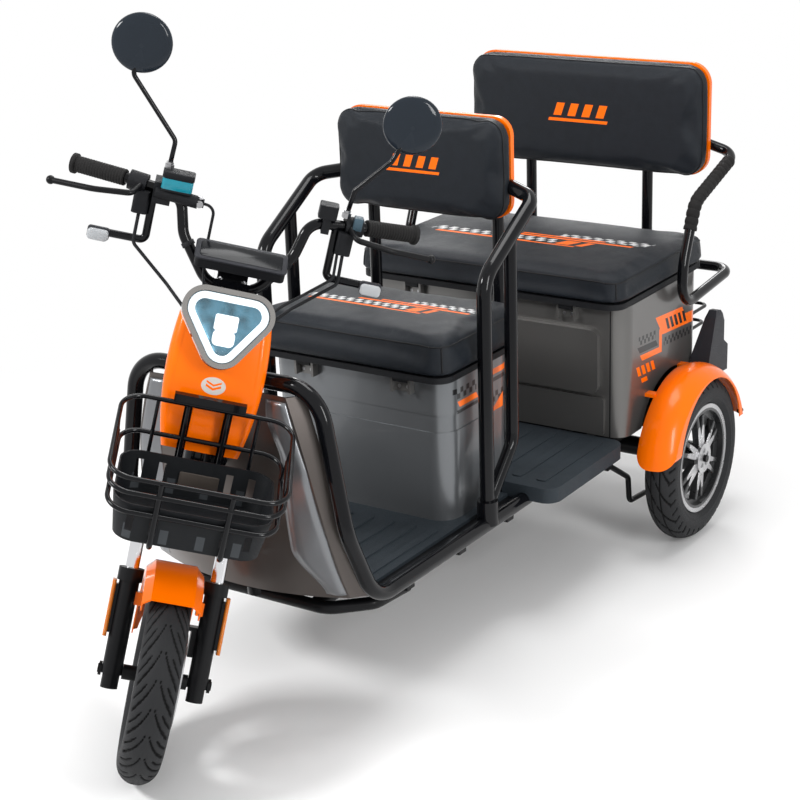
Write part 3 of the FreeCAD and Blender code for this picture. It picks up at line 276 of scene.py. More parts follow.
SEAT_LEAN, SEAT_SQUARE = 0.5, 0.0125
# start and end across the seat, low and high along it, in metres
SEAT_ROWS = ((-0.215, 0.06, -0.0125, 0.0125), (0.02, 0.215, 0.0325, 0.0575))
SEAT_STRIPES = ((-0.10, 0.20, 0.0175, 0.0255), (-0.05, 0.13, 0.0305, 0.0365), (-0.19, 0.02, -0.0265, -0.0175),
                (-0.02, 0.12, -0.0265, -0.0205), (0.07, 0.10, -0.0165, 0.0135),
                (0.115, 0.13, -0.0165, 0.0135))


def seat_print(centre_y, scale):
    """Chequer rows and speed stripes lying across a seat."""
    def mask(f):
        x, y = f.x / scale, (f.y - (centre_y * MM + REAR_AXLE_Y)) / scale
        squares = checks(x - y * SEAT_LEAN, y, SEAT_SQUARE)
        rows = [squares * slant(x, y, SEAT_LEAN, *row) for row in SEAT_ROWS]
        stripes = [slant(x, y, SEAT_LEAN, *row) for row in SEAT_STRIPES]
        return [(either(rows), WHITE_INK), (either(stripes), ORANGE)]
    return mask


BACK_LEAN = 0.35


def back_print(centre_z, scale):
    """Four slanted bars in the middle of a backrest, with a long bar under them."""
    def mask(f):
        x, z = f.x / scale, (f.z - centre_z * MM) / scale
        bars = [slant(x, z, BACK_LEAN, -0.075, 0.075, -0.022, -0.015)]
        for i in range(4):
            left = -0.066 + i * 0.036
            bars.append(slant(x, z, BACK_LEAN, left, left + 0.02, -0.009, 0.02))
        return [(either(bars), ORANGE)]
    return mask


orange = lacquer("orange_lacquer", "orange_paint", ORANGE, 0.25)
tube_black = lacquer("black_lacquer", "black_tube", (0.003, 0.0032, 0.0042), 0.14)
steel_black = lacquer("black_satin", "black_steel", (0.005, 0.0052, 0.006), 0.4, coat=0.15)
plastic = moulded("black_plastic", "black_plastic", (0.007, 0.0075, 0.009))
plastic_grey = moulded("dark_grey_plastic", "black_plastic", (0.021, 0.022, 0.027), 0.42)
mat_rubber = moulded("mat_rubber", "floor_rubber", (0.026, 0.033, 0.040), 0.5, 900.0, 0.0005)
foam = moulded("grip_foam", "grip_foam", (0.012, 0.0115, 0.0115), 0.7, 1100.0, 0.0005)
switch_blue = moulded("blue_grey_switch", "black_plastic", (0.05, 0.085, 0.11), 0.35)
tray_plastic = moulded("tray_plastic", "black_plastic", (0.008, 0.009, 0.0105), 0.5)
plate_brown = moulded("tray_plate", "black_plastic", (0.07, 0.058, 0.05), 0.4)
chrome = metal("fork_chrome", "fork_chrome", (0.72, 0.72, 0.74), 0.1)
steel = metal("brushed_steel", "disc_steel", (0.5, 0.5, 0.51), 0.3)
bolt_steel = metal("bolt_steel", "disc_steel", (0.42, 0.42, 0.43), 0.28)
mirror_black = lacquer("mirror_back", "black_plastic", (0.013, 0.018, 0.025), 0.1)
mirror_glass = metal("mirror_glass", "clear_lens", (0.8, 0.82, 0.84), 0.03, (1, 1, 1))
bezel_grey = lacquer("bezel_silver", "lamp_bezel", (0.26, 0.25, 0.24), 0.26, metallic=0.8)
seam_black = moulded("seam_piping", "seat_vinyl", (0.008, 0.008, 0.009), 0.4, 700.0)


METALLIC = 0.6
# painted highlight: a lighter grey for the lit faces of the tray's flutes
FLUTE_PAINTED_HIGHLIGHT = (0.045, 0.05, 0.055)


def grey_paint(name, mask=None, base=(0.135, 0.132, 0.128)):
    """Grey metallic lacquer; the mask prints stripes and chequers on it."""
    f = lacquer(name, "grey_metallic", base, 0.3, metallic=METALLIC, shine=0.3)
    if mask:
        prints = mask(f)
        printed(f, prints)
        f.put("Metallic", (1.0 - either([share for share, _ in prints])) * METALLIC)
    return f


def flute_painted_highlight(f):
    """Lighter stripes along the front of the basket tray: painted highlight standing in for the lit faces of
    its flutes.
    """
    x, _, z = f.local(STRAIGHT)
    return [(((x + 128.0) % 68.0).within(8.0, 24.0) * z.within(557.0, 588.0) * (abs(x) < 125.0), FLUTE_PAINTED_HIGHLIGHT)]


def box_print(f):
    """Front box: chequers, two orange bars with dark bars below them, and a corner flash."""
    x, y, z = f.local(LAYOUT)
    side = abs(x) > 222.0
    squares = checks(y, z - 572.0, 12.5) * (y.within(-800, -707) * z.within(572, 597))
    low_squares = checks(y, z - 518.0, 12.5) * (y.within(-645, -560) * z.within(518, 543))
    bars = [slant(y, z - 559, -0.6, -782, -704, -7, 7), slant(y, z - 591, -0.6, -646, -572, -7, 7)]
    dark = [slant(y, z - 541, -0.6, -786, -700, -5, 5), slant(y, z - 572, -0.6, -640, -580, -5, 5)]
    flash = y.within(-638, -590) * (z > 497) * ((y + 638) * 0.62 + 503 > z)
    return [(side * either([squares, low_squares] + dark), DARK_INK),
            (side * either(bars + [flash]), ORANGE)]


def body_print(f):
    """Rear body: an orange tag with dark bars, chequers either side and a stepped stripe below, and a dark
    line of painted shade down the groove at each front corner.
    """
    x, y, z = f.local(LAYOUT)
    side = abs(x) > 352.0
    run = z + y * 0.07  # the print falls slightly to the rear
    tag = [slant(y, run - 529, -0.8, -34, 118, 0, 50), slant(y, run - 529, -0.8, 60, 250, 0, 29)]
    stripe = [slant(y, run - 485, -0.8, -146, -36, 0, 15), slant(y, run - 485, 0.0, -52, -37, 0, 60)]
    squares = [checks(y, run - 527.0, 10.5) * (y.within(-166, -72) * run.within(527, 548)),
               checks(y, run - 498.0, 10.5) * (y.within(-26, 205) * run.within(498, 519))]
    bars = [slant(y, run - 552, -0.5, -12 + 24 * i, 2 + 24 * i, -15, 15) for i in range(5)]
    band = slant(y, run - 506, -0.8, -160, -58, 0, 16)
    mark = [slant(y, run - 461, -0.5, -172 + 26 * i, -156 + 26 * i, -13, 12) for i in range(4)]
    mark += [slant(y, run - 437, -0.5, -150, -118, -9, 3)]
    # painted shade: a dark line where the groove between the front panel and the side panel falls in shade
    seam = (y < -225) * (abs(abs(x) - 331.0) < 1.7) * (z < 640)
    return [(side * either(squares + [band]), DARK_INK), (side * either(tag + stripe + mark), ORANGE),
            (either([side * bar for bar in bars] + [seam]), DARK_INK)]


def nose_print(f):
    """A plain oval badge with a chevron in it, under the headlamp."""
    u, v, w = f.local(FORK)
    w = w - 797.0
    oval = ((u / 24.0) * (u / 24.0) + (w / 17.0) * (w / 17.0) < 1.0) * (v < -80.0)
    rise = w - abs(u) * 0.45
    chevron = oval * rise.within(-9, -4) * (abs(u) < 15.0) + oval * rise.within(-1, 3) * (abs(u) < 15.0)
    return [(oval, PALE_INK), (chevron, ORANGE)]


grey = grey_paint("grey_metallic")
grey_box = grey_paint("grey_metallic_box", box_print, (0.15, 0.158, 0.166))
# the leg shield's grey is darker and browner than the grey paint elsewhere: painted shade over its middle
grey_shield_painted_shade = grey_paint("grey_metallic_shield_painted_shade", None, (0.088, 0.076, 0.07))
# the raised border's grey is lighter and cooler: a painted highlight along the bevel beside the hoop
grey_border_painted_highlight = grey_paint("grey_metallic_border_painted_highlight", None, (0.19, 0.196, 0.206))
grey_body = grey_paint("grey_metallic_body", body_print)
orange_nose = lacquer("orange_lacquer_nose", "orange_paint", ORANGE, 0.25)
printed(orange_nose, nose_print(orange_nose))
printed(tray_plastic, flute_painted_highlight(tray_plastic))


def lens(name, slot, base, transmission, ribs=0.0, **sockets):
    """Clear or coloured lens, ribbed inside."""
    f = Finish(name, slot, base, 0.12, Transmission_Weight=transmission, IOR=1.45, **sockets)
    f.put("Base Color", f.blend(f.noise(20.0), shade(base, 0.85), base))
    if ribs:
        f.bump(((f.x + f.z) * ribs).math("SINE"), 0.0008, 0.5)
    else:
        f.bump(f.noise(40.0), 0.0002)
    return f


amber = lens("amber_reflector", "amber_lens", (0.75, 0.2, 0.01), 0.15, 1600.0)
red = lens("red_lens", "red_lens", (0.42, 0.006, 0.006), 0.1, 900.0)
clear_lens = lens("clear_lens", "clear_lens", (0.5, 0.52, 0.54), 0.2)
teal = lens("teal_reservoir", "clear_lens", (0.01, 0.25, 0.33), 0.1)
lamp_cover = lens("lamp_cover", "clear_lens", (0.4, 0.6, 0.7), 0.0, Alpha=0.08)
lamp_bowl = Finish("lamp_bowl", "clear_lens", (0.07, 0.12, 0.14), 0.3, Metallic=0.3, Specular_IOR_Level=0.3)
lamp_bowl.put("Base Color", lamp_bowl.blend(lamp_bowl.noise(24.0, 2.0).ramp(0.35, 0.65), (0.008, 0.04, 0.06),
                                            (0.07, 0.2, 0.28)))
light_white = Finish("lit_white", "clear_lens", (0.9, 0.93, 0.95), 0.3, Emission_Strength=0.75)
glow = light_white.blend(light_white.noise(60.0), (0.82, 0.93, 1.0), (1.0, 1.0, 1.0))
light_white.put("Emission Color", glow)
screen = Finish("display_screen", "black_plastic", (0.008, 0.009, 0.012), 0.15, Specular_IOR_Level=0.15)
screen.put("Base Color", screen.blend(screen.noise(40.0), (0.003, 0.0035, 0.0045), (0.008, 0.009, 0.011)))


def alloy(name, node, face):
    """Cast wheel: machined spoke faces and rim edge, dark painted pockets."""
    low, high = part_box(node)
    centre = (Vector(low) + Vector(high)) / 2
    axis = Vector((1, 0, 0)) if "rear" in node else FORK.to_3x3() @ Vector((1, 0, 0))
    axis.normalize()
    if "right" in node:
        axis.negate()
    f = Finish(name, "wheel_alloy", (0.5, 0.5, 0.51), 0.25, Metallic=1.0)
    along, radius = f.about(centre, axis)
    cut = (along > face * MM - 0.004) * (radius < 0.112)
    edge = (radius > 0.1285) * (abs(along) > 0.026)
    hub = radius < 0.030
    bright = either([cut, edge, hub])
    rings = (radius * 5200.0).math("SINE")
    f.put("Base Color", f.blend(bright, (0.05, 0.051, 0.053), (0.56, 0.56, 0.57)))
    f.put("Roughness", f.noise(30.0, 3.0) * 0.12 + 0.22)
    f.put("Metallic", bright * 0.35 + 0.6)
    f.bump(rings * bright, 0.00008)
    return f


# making pieces

def placed(name, data):
    """A new object in the scene."""
    obj = bpy.data.objects.new(name, data)
    bpy.context.scene.collection.objects.link(obj)
    return obj


def piece(name, mesh, body, finish, smooth=True, replaces=()):
    """A finished mesh as a piece riding on a body."""
    obj = placed(name, mesh)
    if not mesh.materials:
        mesh.materials.append(finish.material)
    for face in mesh.polygons:
        face.use_smooth = smooth
    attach(obj, body)
    if replaces:
        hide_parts(*replaces)
    return obj


def solid(vertices, faces, matrix, merge=1e-6):
    """A mesh from laid-out millimetres, put in place, with its faces turned outwards."""
    bm = bmesh.new()
    made = [bm.verts.new(matrix @ Vector(p)) for p in vertices]
    for face in faces:
        bm.faces.new([made[i] for i in face])
    bmesh.ops.remove_doubles(bm, verts=bm.verts, dist=merge)
    bmesh.ops.recalc_face_normals(bm, faces=bm.faces)
    mesh = bpy.data.meshes.new("mesh")
    bm.to_mesh(mesh)
    bm.free()
    return mesh


def joined(meshes):
    """Several meshes as one."""
    bm = bmesh.new()
    for mesh in meshes:
        bm.from_mesh(mesh)
    out = bpy.data.meshes.new("mesh")
    bm.to_mesh(out)
    bm.free()
    return out


def plain(obj):
    """What an object's modifiers make, as a mesh of its own; the object goes."""
    graph = bpy.context.evaluated_depsgraph_get()
    mesh = bpy.data.meshes.new_from_object(obj.evaluated_get(graph))
    bpy.data.objects.remove(obj)
    return mesh


def rounded_outline(half_x, half_y, radius, steps=6, centre=(0, 0)):
    """Points round a rounded rectangle."""
    points = []
    for sx, sy, start in ((1, -1, -90), (1, 1, 0), (-1, 1, 90), (-1, -1, 180)):
        cx, cy = centre[0] + sx * (half_x - radius), centre[1] + sy * (half_y - radius)
        for i in range(steps + 1):
            a = math.radians(start + 90 * i / steps)
            points.append((cx + radius * math.cos(a), cy + radius * math.sin(a)))
    return points


def lofted(rings, matrix, closed=True):
    """A skin through rings of equal count, capped at both ends if closed."""
    count = len(rings[0])
    vertices = [p for ring in rings for p in ring]
    faces = []
    for k in range(len(rings) - 1):
        for i in range(count):
            j = (i + 1) % count
            faces.append((k * count + i, k * count + j, (k + 1) * count + j, (k + 1) * count + i))
    if closed:
        faces.append(tuple(range(count)))
        faces.append(tuple(range((len(rings) - 1) * count, len(rings) * count)))
    return solid(vertices, faces, matrix)


def plate(half_x, half_y, low, high, radius, centre, matrix, rim=1.5):
    """A level rounded plate with softened edges."""
    rings = []
    for z, inset in ((low, rim), (low + rim, 0), (high - rim, 0), (high - rim * 0.3, rim * 0.3), (high, rim)):
        ring = rounded_outline(half_x - inset, half_y - inset, max(0.5, radius - inset), 6, centre)
        rings.append([(x, y, z) for x, y in ring])
    return lofted(rings, matrix)


def bent(points, radius, step=6.0):
    """Places along straight runs joined by arcs."""
    pts = [Vector(p) for p in points]
    out = [pts[0]]
    for before, at, after in zip(pts, pts[1:], pts[2:]):
        back, on = (before - at).normalized(), (after - at).normalized()
        half = back.angle(on) / 2
        cut = min(radius / math.tan(half), (before - at).length * 0.48, (after - at).length * 0.48)
        r = cut * math.tan(half)
        middle = at + (back + on).normalized() * (r / math.sin(half))
        a, b = at + back * cut - middle, at + on * cut - middle
        turn = a.angle(b)
        n = max(3, int(turn * r / step))
        for i in range(n + 1):
            t = i / n
            out.append(middle + (a * math.sin((1 - t) * turn) + b * math.sin(t * turn)) / math.sin(turn))
    out.append(pts[-1])
    return out


def sweep(path, radius, matrix, sides=12):
    """A round skin along a path; radius may be a function of the distance along it."""
    path = [Vector(p) for p in path]
    far, rings = 0.0, []
    tangent = (path[1] - path[0]).normalized()
    across = tangent.orthogonal().normalized()
    for i, p in enumerate(path):
        if i:
            far += (p - path[i - 1]).length
        ahead = path[min(i + 1, len(path) - 1)] - path[max(i - 1, 0)]
        ahead.normalize()
        across = (across - ahead * across.dot(ahead)).normalized()
        other = ahead.cross(across)
        r = radius(far) if callable(radius) else radius
        rings.append([p + (across * math.cos(a) + other * math.sin(a)) * r
                      for a in (2 * math.pi * k / sides for k in range(sides))])
    return lofted(rings, matrix)


def divided(path, step):
    """The same path with places no further apart than a step."""
    out = [Vector(path[0])]
    for a, b in zip(path, path[1:]):
        a, b = Vector(a), Vector(b)
        n = max(1, math.ceil((b - a).length / step))
        out += [a.lerp(b, k / n) for k in range(1, n + 1)]
    return out


# tyres

TYRE_RADIUS, CROWN = 211.0, 42.0
TREAD_DEPTH = 4.2
AROUND, CROWN_STEPS = 504, 54
# across and radius of the sidewall, from the rim out
SIDEWALL = ((-27.0, 127.5), (-27.0, 140.0), (-38.6, 146.0), (-39.6, 151.0), (-40.8, 151.6), (-41.2, 157.0),
            (-41.0, 160.5), (-41.6, 162.0))
FRONT_PITCH = 2 * math.pi * TYRE_RADIUS / 24
REAR_PITCH = 2 * math.pi * TYRE_RADIUS / 20


def tread_swept(run, across):
    """Front tread: grooves that leave the middle rib along the tyre and sweep out to the shoulder."""
    side = abs(across)
    sweep_back = 15.0 * math.sqrt(side)
    phase = ((run + sweep_back) / FRONT_PITCH) % 1.0
    long = phase < 0.09 + side * 0.0016 and 4.5 < side < 47.0
    phase = ((run + sweep_back) / FRONT_PITCH + 0.5) % 1.0
    short = phase < 0.06 + side * 0.0014 and 20.0 < side < 50.0
    return long or short


def tread_sipes(run, across):
    """Rear tread: long curved diagonal grooves, short ones at the shoulders, and two that run all round."""
    phase = ((run + across * 1.6 + 14.0 * math.sin(across / 18.0)) / REAR_PITCH) % 1.0
    long = phase < 0.12 and abs(across) < 40.0
    phase = ((run - abs(across) * 0.7) * 2 / REAR_PITCH) % 1.0
    short = phase < 0.2 and 34.0 < abs(across) < 54.0
    ring = abs(abs(across) - 12.0) < 1.6
    return long or short or ring


def tyre_finish(name, centre, axis):
    """Tyre rubber, with painted shade darkening it down in the tread grooves."""
    f = moulded(name, "tyre_rubber", (0.019, 0.0195, 0.021), 0.6, 1800.0, 0.0002)
    along, radius = f.about(centre, axis.normalized())
    out = radius - (TYRE_RADIUS - CROWN) * MM
    groove_shade = (out * out + along * along).math("SQRT") < (CROWN - 1.2) * MM
    # painted shade: rubber lying below the crown, down in the tread grooves, is darkened
    f.put("Base Color", f.blend(groove_shade * (radius > 0.18), f.colour, (0.002, 0.002, 0.0022)))
    return f


def make_tyre(name, node, body, tread, mirror):
    """Tyre with moulded tread and sidewall ring, in place of its plain solid."""
    low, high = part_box(node)
    centre = (Vector(low) + Vector(high)) / 2
    turn = FORK.to_3x3() if "front" in node else Matrix.Scale(MM, 3)
    place = Matrix.Translation(centre) @ turn.to_4x4()
    profile = [(x, r, 0) for x, r in SIDEWALL]
    for i in range(CROWN_STEPS + 1):
        a = math.radians(-88 + 176 * i / CROWN_STEPS)
        profile.append((CROWN * math.sin(a), TYRE_RADIUS - CROWN + CROWN * math.cos(a), a))
    profile += [(-x, r, 0) for x, r in reversed(SIDEWALL)]
    count = len(profile)
    vertices, faces = [], []
    for i in range(AROUND):
        angle = 2 * math.pi * i / AROUND
        for x, r, a in profile:
            depth = TREAD_DEPTH * tread(angle * TYRE_RADIUS, mirror * a * CROWN) if a else 0.0
            rr, xx = r - depth * math.cos(a), x - depth * math.sin(a)
            vertices.append((xx, rr * math.sin(angle), rr * math.cos(angle)))
        here, there = i * count, (i + 1) % AROUND * count
        for k in range(count):
            after = (k + 1) % count
            faces.append((here + k, here + after, there + after, there + k))
    finish = tyre_finish(name + "_rubber", centre, turn @ Vector((1, 0, 0)))
    return piece(name, solid(vertices, faces, place, 1e-7), body, finish, True, (node,))


make_tyre("front_tread", "front_tyre", "front_wheel", tread_swept, 1)
make_tyre("rear_tread_left", "rear_tyre_left", "rear_wheel_left", tread_sipes, 1)
make_tyre("rear_tread_right", "rear_tyre_right", "rear_wheel_right", tread_sipes, -1)


# cushions

CLOTH_STEPS = 20
SEAT_SHRINK, BACK_SHRINK = (3, 3, 3), (1, 2, 1)
CUSHION_CAP = 8  # the furthest that a point of a cushion moves


def puffed(node, name, body, finish, shrink, voxel, fixed):
    """A cushion: the node's shape made smaller, rounded, then blown up as cloth round its foam."""
    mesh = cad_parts[node].data.copy()
    mesh.materials.clear()
    low, high = (Vector(c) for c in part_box(node))
    centre = (low + high) / 2
    bm = bmesh.new()
    bm.from_mesh(mesh)
    bmesh.ops.remove_doubles(bm, verts=bm.verts, dist=1e-5)
    kept = [1 - 2 * shrink[i] * MM / (high[i] - low[i]) for i in range(3)]
    for vert in bm.verts:
        for i in range(3):
            vert.co[i] = centre[i] + (vert.co[i] - centre[i]) * kept[i]
    bmesh.ops.recalc_face_normals(bm, faces=bm.faces)
    bm.to_mesh(mesh)
    bm.free()
    obj = placed("work", mesh)
    remesh = obj.modifiers.new("remesh", "REMESH")
    remesh.mode, remesh.voxel_size = "VOXEL", voxel * MM
    smooth = obj.modifiers.new("smooth", "SMOOTH")
    smooth.factor, smooth.iterations = 0.5, 9
    mesh = plain(obj)
    obj = placed("work", mesh)
    start = [v.co.copy() for v in mesh.vertices]
    group = obj.vertex_groups.new(name="held")
    held = [i for i, co in enumerate(start) if fixed(co, low, high)]
    group.add(held, 1.0, "REPLACE")
    cloth = obj.modifiers.new("cloth", "CLOTH")
    s = cloth.settings
    s.quality, s.mass, s.air_damping = 6, 0.3, 2.0
    s.use_pressure, s.uniform_pressure_force = True, 3.0
    s.tension_stiffness = s.compression_stiffness = 20.0
    s.shear_stiffness, s.bending_stiffness = 8.0, 4.0
    s.effector_weights.gravity = 0.0
    s.vertex_group_mass = "held"
    cloth.collision_settings.use_collision = False
    cloth.point_cache.frame_end = CLOTH_STEPS
    for number in range(1, CLOTH_STEPS + 1):
        bpy.context.scene.frame_set(number)
    graph = bpy.context.evaluated_depsgraph_get()
    blown = obj.evaluated_get(graph).data
    moved = [v.co.copy() for v in blown.vertices]
    bpy.context.scene.frame_set(1)
    obj.modifiers.remove(cloth)
    for vert, old, new in zip(mesh.vertices, start, moved):
        step = new - old
        if step.length > CUSHION_CAP * MM:
            step = step.normalized() * CUSHION_CAP * MM
        vert.co = old + step
    relax = obj.modifiers.new("relax", "SMOOTH")
    relax.factor, relax.iterations = 0.5, 6
    sub = obj.modifiers.new("sub", "SUBSURF")
    sub.levels = sub.render_levels = 1
    mesh = plain(obj)
    return piece(name, mesh, body, finish, True, (node,))


def bottom(co, low, high):
    """Held where it rests on its base."""
    return co.z < low.z + 0.012


def rear_face(co, low, high):
    """Held where it lies against its shell."""
    return co.y > high.y - 0.010


front_pad = puffed("front_cushion", "front_seat_cushion", "front_seat_lid",
                   vinyl("front_seat_vinyl", seat_print(-700, 0.98)), SEAT_SHRINK, 7, bottom)
rear_pad = puffed("rear_cushion", "rear_seat_cushion", "rear_seat_lid",
                  vinyl("rear_seat_vinyl", seat_print(-40, 1.3)), SEAT_SHRINK, 8, bottom)
front_back = puffed("front_backrest_pad", "front_back_cushion", "frame",
                    vinyl("front_back_vinyl", back_print(1030, 0.95)), BACK_SHRINK, 6, rear_face)
rear_back = puffed("rear_backrest_pad", "rear_back_cushion", "frame",
                   vinyl("rear_back_vinyl", back_print(1010, 1.15)), BACK_SHRINK, 7, rear_face)


PIPING = 1.7


def seam(pad, loops, name, body):
    """Piping laid on a cushion: each loop is drawn to the nearest place on its surface."""
    graph = bpy.context.evaluated_depsgraph_get()
    tree = BVHTree.FromObject(pad, graph)
    meshes = []
    for loop, closed in loops:
        path = []
        for p in loop:
            spot, normal, _, _ = tree.find_nearest(LAYOUT @ Vector(p))
            path.append(spot + normal * 0.0004)
        if closed:
            path.append(path[0].lerp(path[1], 0.02))
        meshes.append(sweep(path, PIPING * MM, Matrix.Identity(4), 8))
    return piece(name, joined(meshes), body, seam_black)


def edge_loop(half_x, ends, radius, place):
    """Piping round a rounded rectangle; place gives the spot for two coordinates."""
    low, high = ends
    outline = rounded_outline(half_x + 4, (high - low) / 2 + 4, radius, 10, (0, (low + high) / 2))
    spots = [place(*p) for p in outline + outline[:1]]
    return divided(spots, 10)[:-1], True


def seat_loops(half_x, y, z_top, z_low, radius):
    """Piping round the top edge and a seam down each corner."""
    def place(across, along):
        return across, along, z_top
    loops = [edge_loop(half_x, y, radius, place)]
    for sx in (1, -1):
        for end, toward in zip(y, (-1, 1)):
            cx, cy = sx * (half_x - radius * 0.29), end - toward * radius * 0.29
            loops.append(([(cx, cy, z) for z in range(z_low, z_top, 5)], False))
    return loops


seam(front_pad, seat_loops(266, (-880, -530), 716, 656, 44), "front_seat_piping", "front_seat_lid")
seam(rear_pad, seat_loops(379, (-285, 222), 722, 676, 46), "rear_seat_piping", "rear_seat_lid")


def back_loops(half_x, z, y, radius):
    """Piping round the face of a backrest."""
    def place(across, up):
        return across, y, up
    return [edge_loop(half_x, z, radius, place)]


seam(front_back, back_loops(224, (912, 1142), -548, 44), "front_back_piping", "frame")
seam(rear_back, back_loops(342, (862, 1150), 248, 56), "rear_back_piping", "frame")


# finishes of the carried-over nodes

FINISHES = {
    tube_black: ("guard_rail", "front_arms", "backrest_posts", "rear_handles", "handlebar", "basket_wire",
                 "head_tube", "fork_yoke"),
    steel_black: ("chassis", "cross_bars", "rear_axle", "fork_sliders", "brake_levers", "floor_pan",
                  "front_axle"),
    tray_plastic: ("basket_tray",),
    plastic: ("bar_controls", "front_seat_base", "rear_seat_base", "control_cables", "battery_pack"),
    plastic_grey: ("tail_lamp_housings",),
    mat_rubber: ("floor_mat", "rear_step"),
    grey: ("rear_door", "seat_hinges"),
    grey_shield_painted_shade: ("leg_shield",),
    grey_box: ("front_box",),
    grey_body: ("rear_body", "rear_front_panel"),
    orange: ("front_fender", "rear_fenders", "front_backrest_shell", "rear_backrest_shell"),
    orange_nose: ("nose_fairing",),
    chrome: ("fork_tubes",),
    steel: ("front_brake_disc",),
    amber: ("fork_reflectors",),
    red: ("tail_lamp_lenses",),
    clear_lens: ("indicators",),
    bezel_grey: ("headlamp_bezel",),
    alloy("front_wheel_alloy", "front_rim", 22): ("front_rim",),
    alloy("left_wheel_alloy", "rear_rim_left", 30): ("rear_rim_left",),
    alloy("right_wheel_alloy", "rear_rim_right", 30): ("rear_rim_right",),
}
for finish, names in FINISHES.items():
    for name in names:
        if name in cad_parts:
            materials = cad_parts[name].data.materials
            materials.clear()
            materials.append(finish.material)


# leg shield

def eased(value, low, high):
    """0 at low, 1 at high, smooth between."""
    t = min(1.0, max(0.0, (value - low) / (high - low)))
    return t * t * (3 - 2 * t)


SHIELD_Z = (292, 716)
BORDER_RAISED, BORDER_SLOPE = 7.0, 26
# height and place across of the corner where the side flange turns back
SHIELD_CORNER = ((282, 250), (430, 240), (580, 216), (726, 172))


def border_start(z):
    """Where the raised border begins: further out at the foot, further in at the top."""
    return 155 + 52 * (1 - eased(z, SHIELD_Z[0], 400)) - 34 * eased(z, 590, 690)


def border_end(z):
    """Just inside the corner where the side flange turns back."""
    for (z0, x0), (z1, x1) in zip(SHIELD_CORNER, SHIELD_CORNER[1:]):
        if z <= z1:
            return x0 + (x1 - x0) * (z - z0) / (z1 - z0) - 3
    return SHIELD_CORNER[-1][1] - 3


def make_shield_border():
    """Raised border down each side of the leg shield, sloping in to its middle, in a lighter grey that is a
    painted highlight.
    """
    surface = BVHTree.FromObject(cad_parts["leg_shield"], bpy.context.evaluated_depsgraph_get())
    back = LAYOUT.inverted()
    meshes = []
    for side in (1, -1):
        rings = []
        for z in range(SHIELD_Z[0], SHIELD_Z[1] + 1, 8):
            start, end = border_start(z), border_end(z)
            under, over = [], []
            for k in range(13):
                x = start + (end - start) * k / 12
                spot = surface.ray_cast(LAYOUT @ Vector((side * x, -1420, z)), Vector((0, 1, 0)))[0]
                y = (back @ spot).y
                rise = BORDER_RAISED * eased(x, start, start + BORDER_SLOPE)
                rise *= 1 - 0.75 * eased(x, end - 8, end)
                under.append((side * x, y + 0.6, z))
                over.append((side * x, y - 0.4 - rise, z))
            rings.append(under + over[::-1])
        meshes.append(lofted(rings, LAYOUT))
    piece("shield_border", joined(meshes), "frame", grey_border_painted_highlight)


make_shield_border()


# headlamp

LAMP_LOW, LAMP_HIGH = 831.0, 985.0
LAMP_HALF, LAMP_CORNER, LAMP_STEPS = 90.0, 44.0, 10
# inset from the lamp's edge and depth ahead of the steering axis, ring by ring
BOWL_RINGS = ((10.6, 124.6), (10.6, 141), (12, 141), (20, 131), (30, 127.5), (41, 127))
LIGHT_RINGS = ((11.5, 133), (11.5, 142), (13.5, 144), (23, 143), (25, 141), (25, 133), (11.5, 133))
COVER_RINGS = ((10.6, 143.5), (10.6, 145.5), (16, 148.2), (28, 149.4), (42, 149.8))
# height, half width, half height and corner of the two plates of the light block
LED_PLATES = ((920, 22.5, 15.5, 4), (890, 21.5, 15.5, 10))


def lamp_ring(inset, back):
    """Points round the lamp's rounded triangle, at a depth ahead of the steering axis."""
    reach = LAMP_HALF - LAMP_CORNER
    top = LAMP_HIGH - LAMP_CORNER
    centres = [(-reach, top), (0, LAMP_LOW + LAMP_CORNER), (reach, top)]
    r = LAMP_CORNER - inset
    points = []
    for i, (cx, cz) in enumerate(centres):
        before, after = centres[i - 1], centres[(i + 1) % 3]
        a = math.atan2(cz - before[1], cx - before[0]) - math.pi / 2
        b = math.atan2(after[1] - cz, after[0] - cx) - math.pi / 2
        while b < a:
            b += 2 * math.pi
        for k in range(LAMP_STEPS + 1):
            t = a + (b - a) * k / LAMP_STEPS
            points.append((cx + r * math.cos(t), -back, cz + r * math.sin(t)))
    return points


def lamp_skin(rows, closed=True):
    return lofted([lamp_ring(*row) for row in rows], FORK, closed)


def make_lamp():
    """Bowl, ring light and clear cover, with the light block in the middle."""
    piece("lamp_bowl", lamp_skin(BOWL_RINGS), "fork", lamp_bowl, True, ("headlamp_glass",))
    piece("lamp_ring_light", lamp_skin(LIGHT_RINGS, False), "fork", light_white)
    piece("lamp_cover", lamp_skin(COVER_RINGS), "fork", lamp_cover)
    leds = []
    for up, half, height, corner in LED_PLATES:
        facing = FORK @ Matrix.Translation((0, -127, up)) @ FACING_AHEAD
        leds.append(plate(half, height, 0, 11, corner, (0, 0), facing, 2.5))
    piece("lamp_led_block", joined(leds), "fork", light_white)


make_lamp()


# mirrors

MIRROR_HEADS = ((-260, 1340), (285, 1296))  # across, height
# points of each stem, from its foot up to the head
MIRROR_STEMS = (((-164, -1198, 1112), (-162, -1184, 1166), (-266, -1182, 1278), (-260, -1182, 1330)),
                ((199, -1178, 1084), (204, -1178, 1140), (262, -1182, 1216), (285, -1182, 1286)))
# radius and depth, ring by ring
SHELL_RINGS = ((57.2, -1174.4), (58.8, -1176), (58.8, -1179), (57.5, -1182.5), (52, -1186), (40, -1188.6),
               (22, -1189.7), (4, -1190))
GLASS_RINGS = ((55.5, -1174.3), (55.2, -1174.05), (30, -1174.0), (3, -1174.0))
MIRROR_SIDES = 48


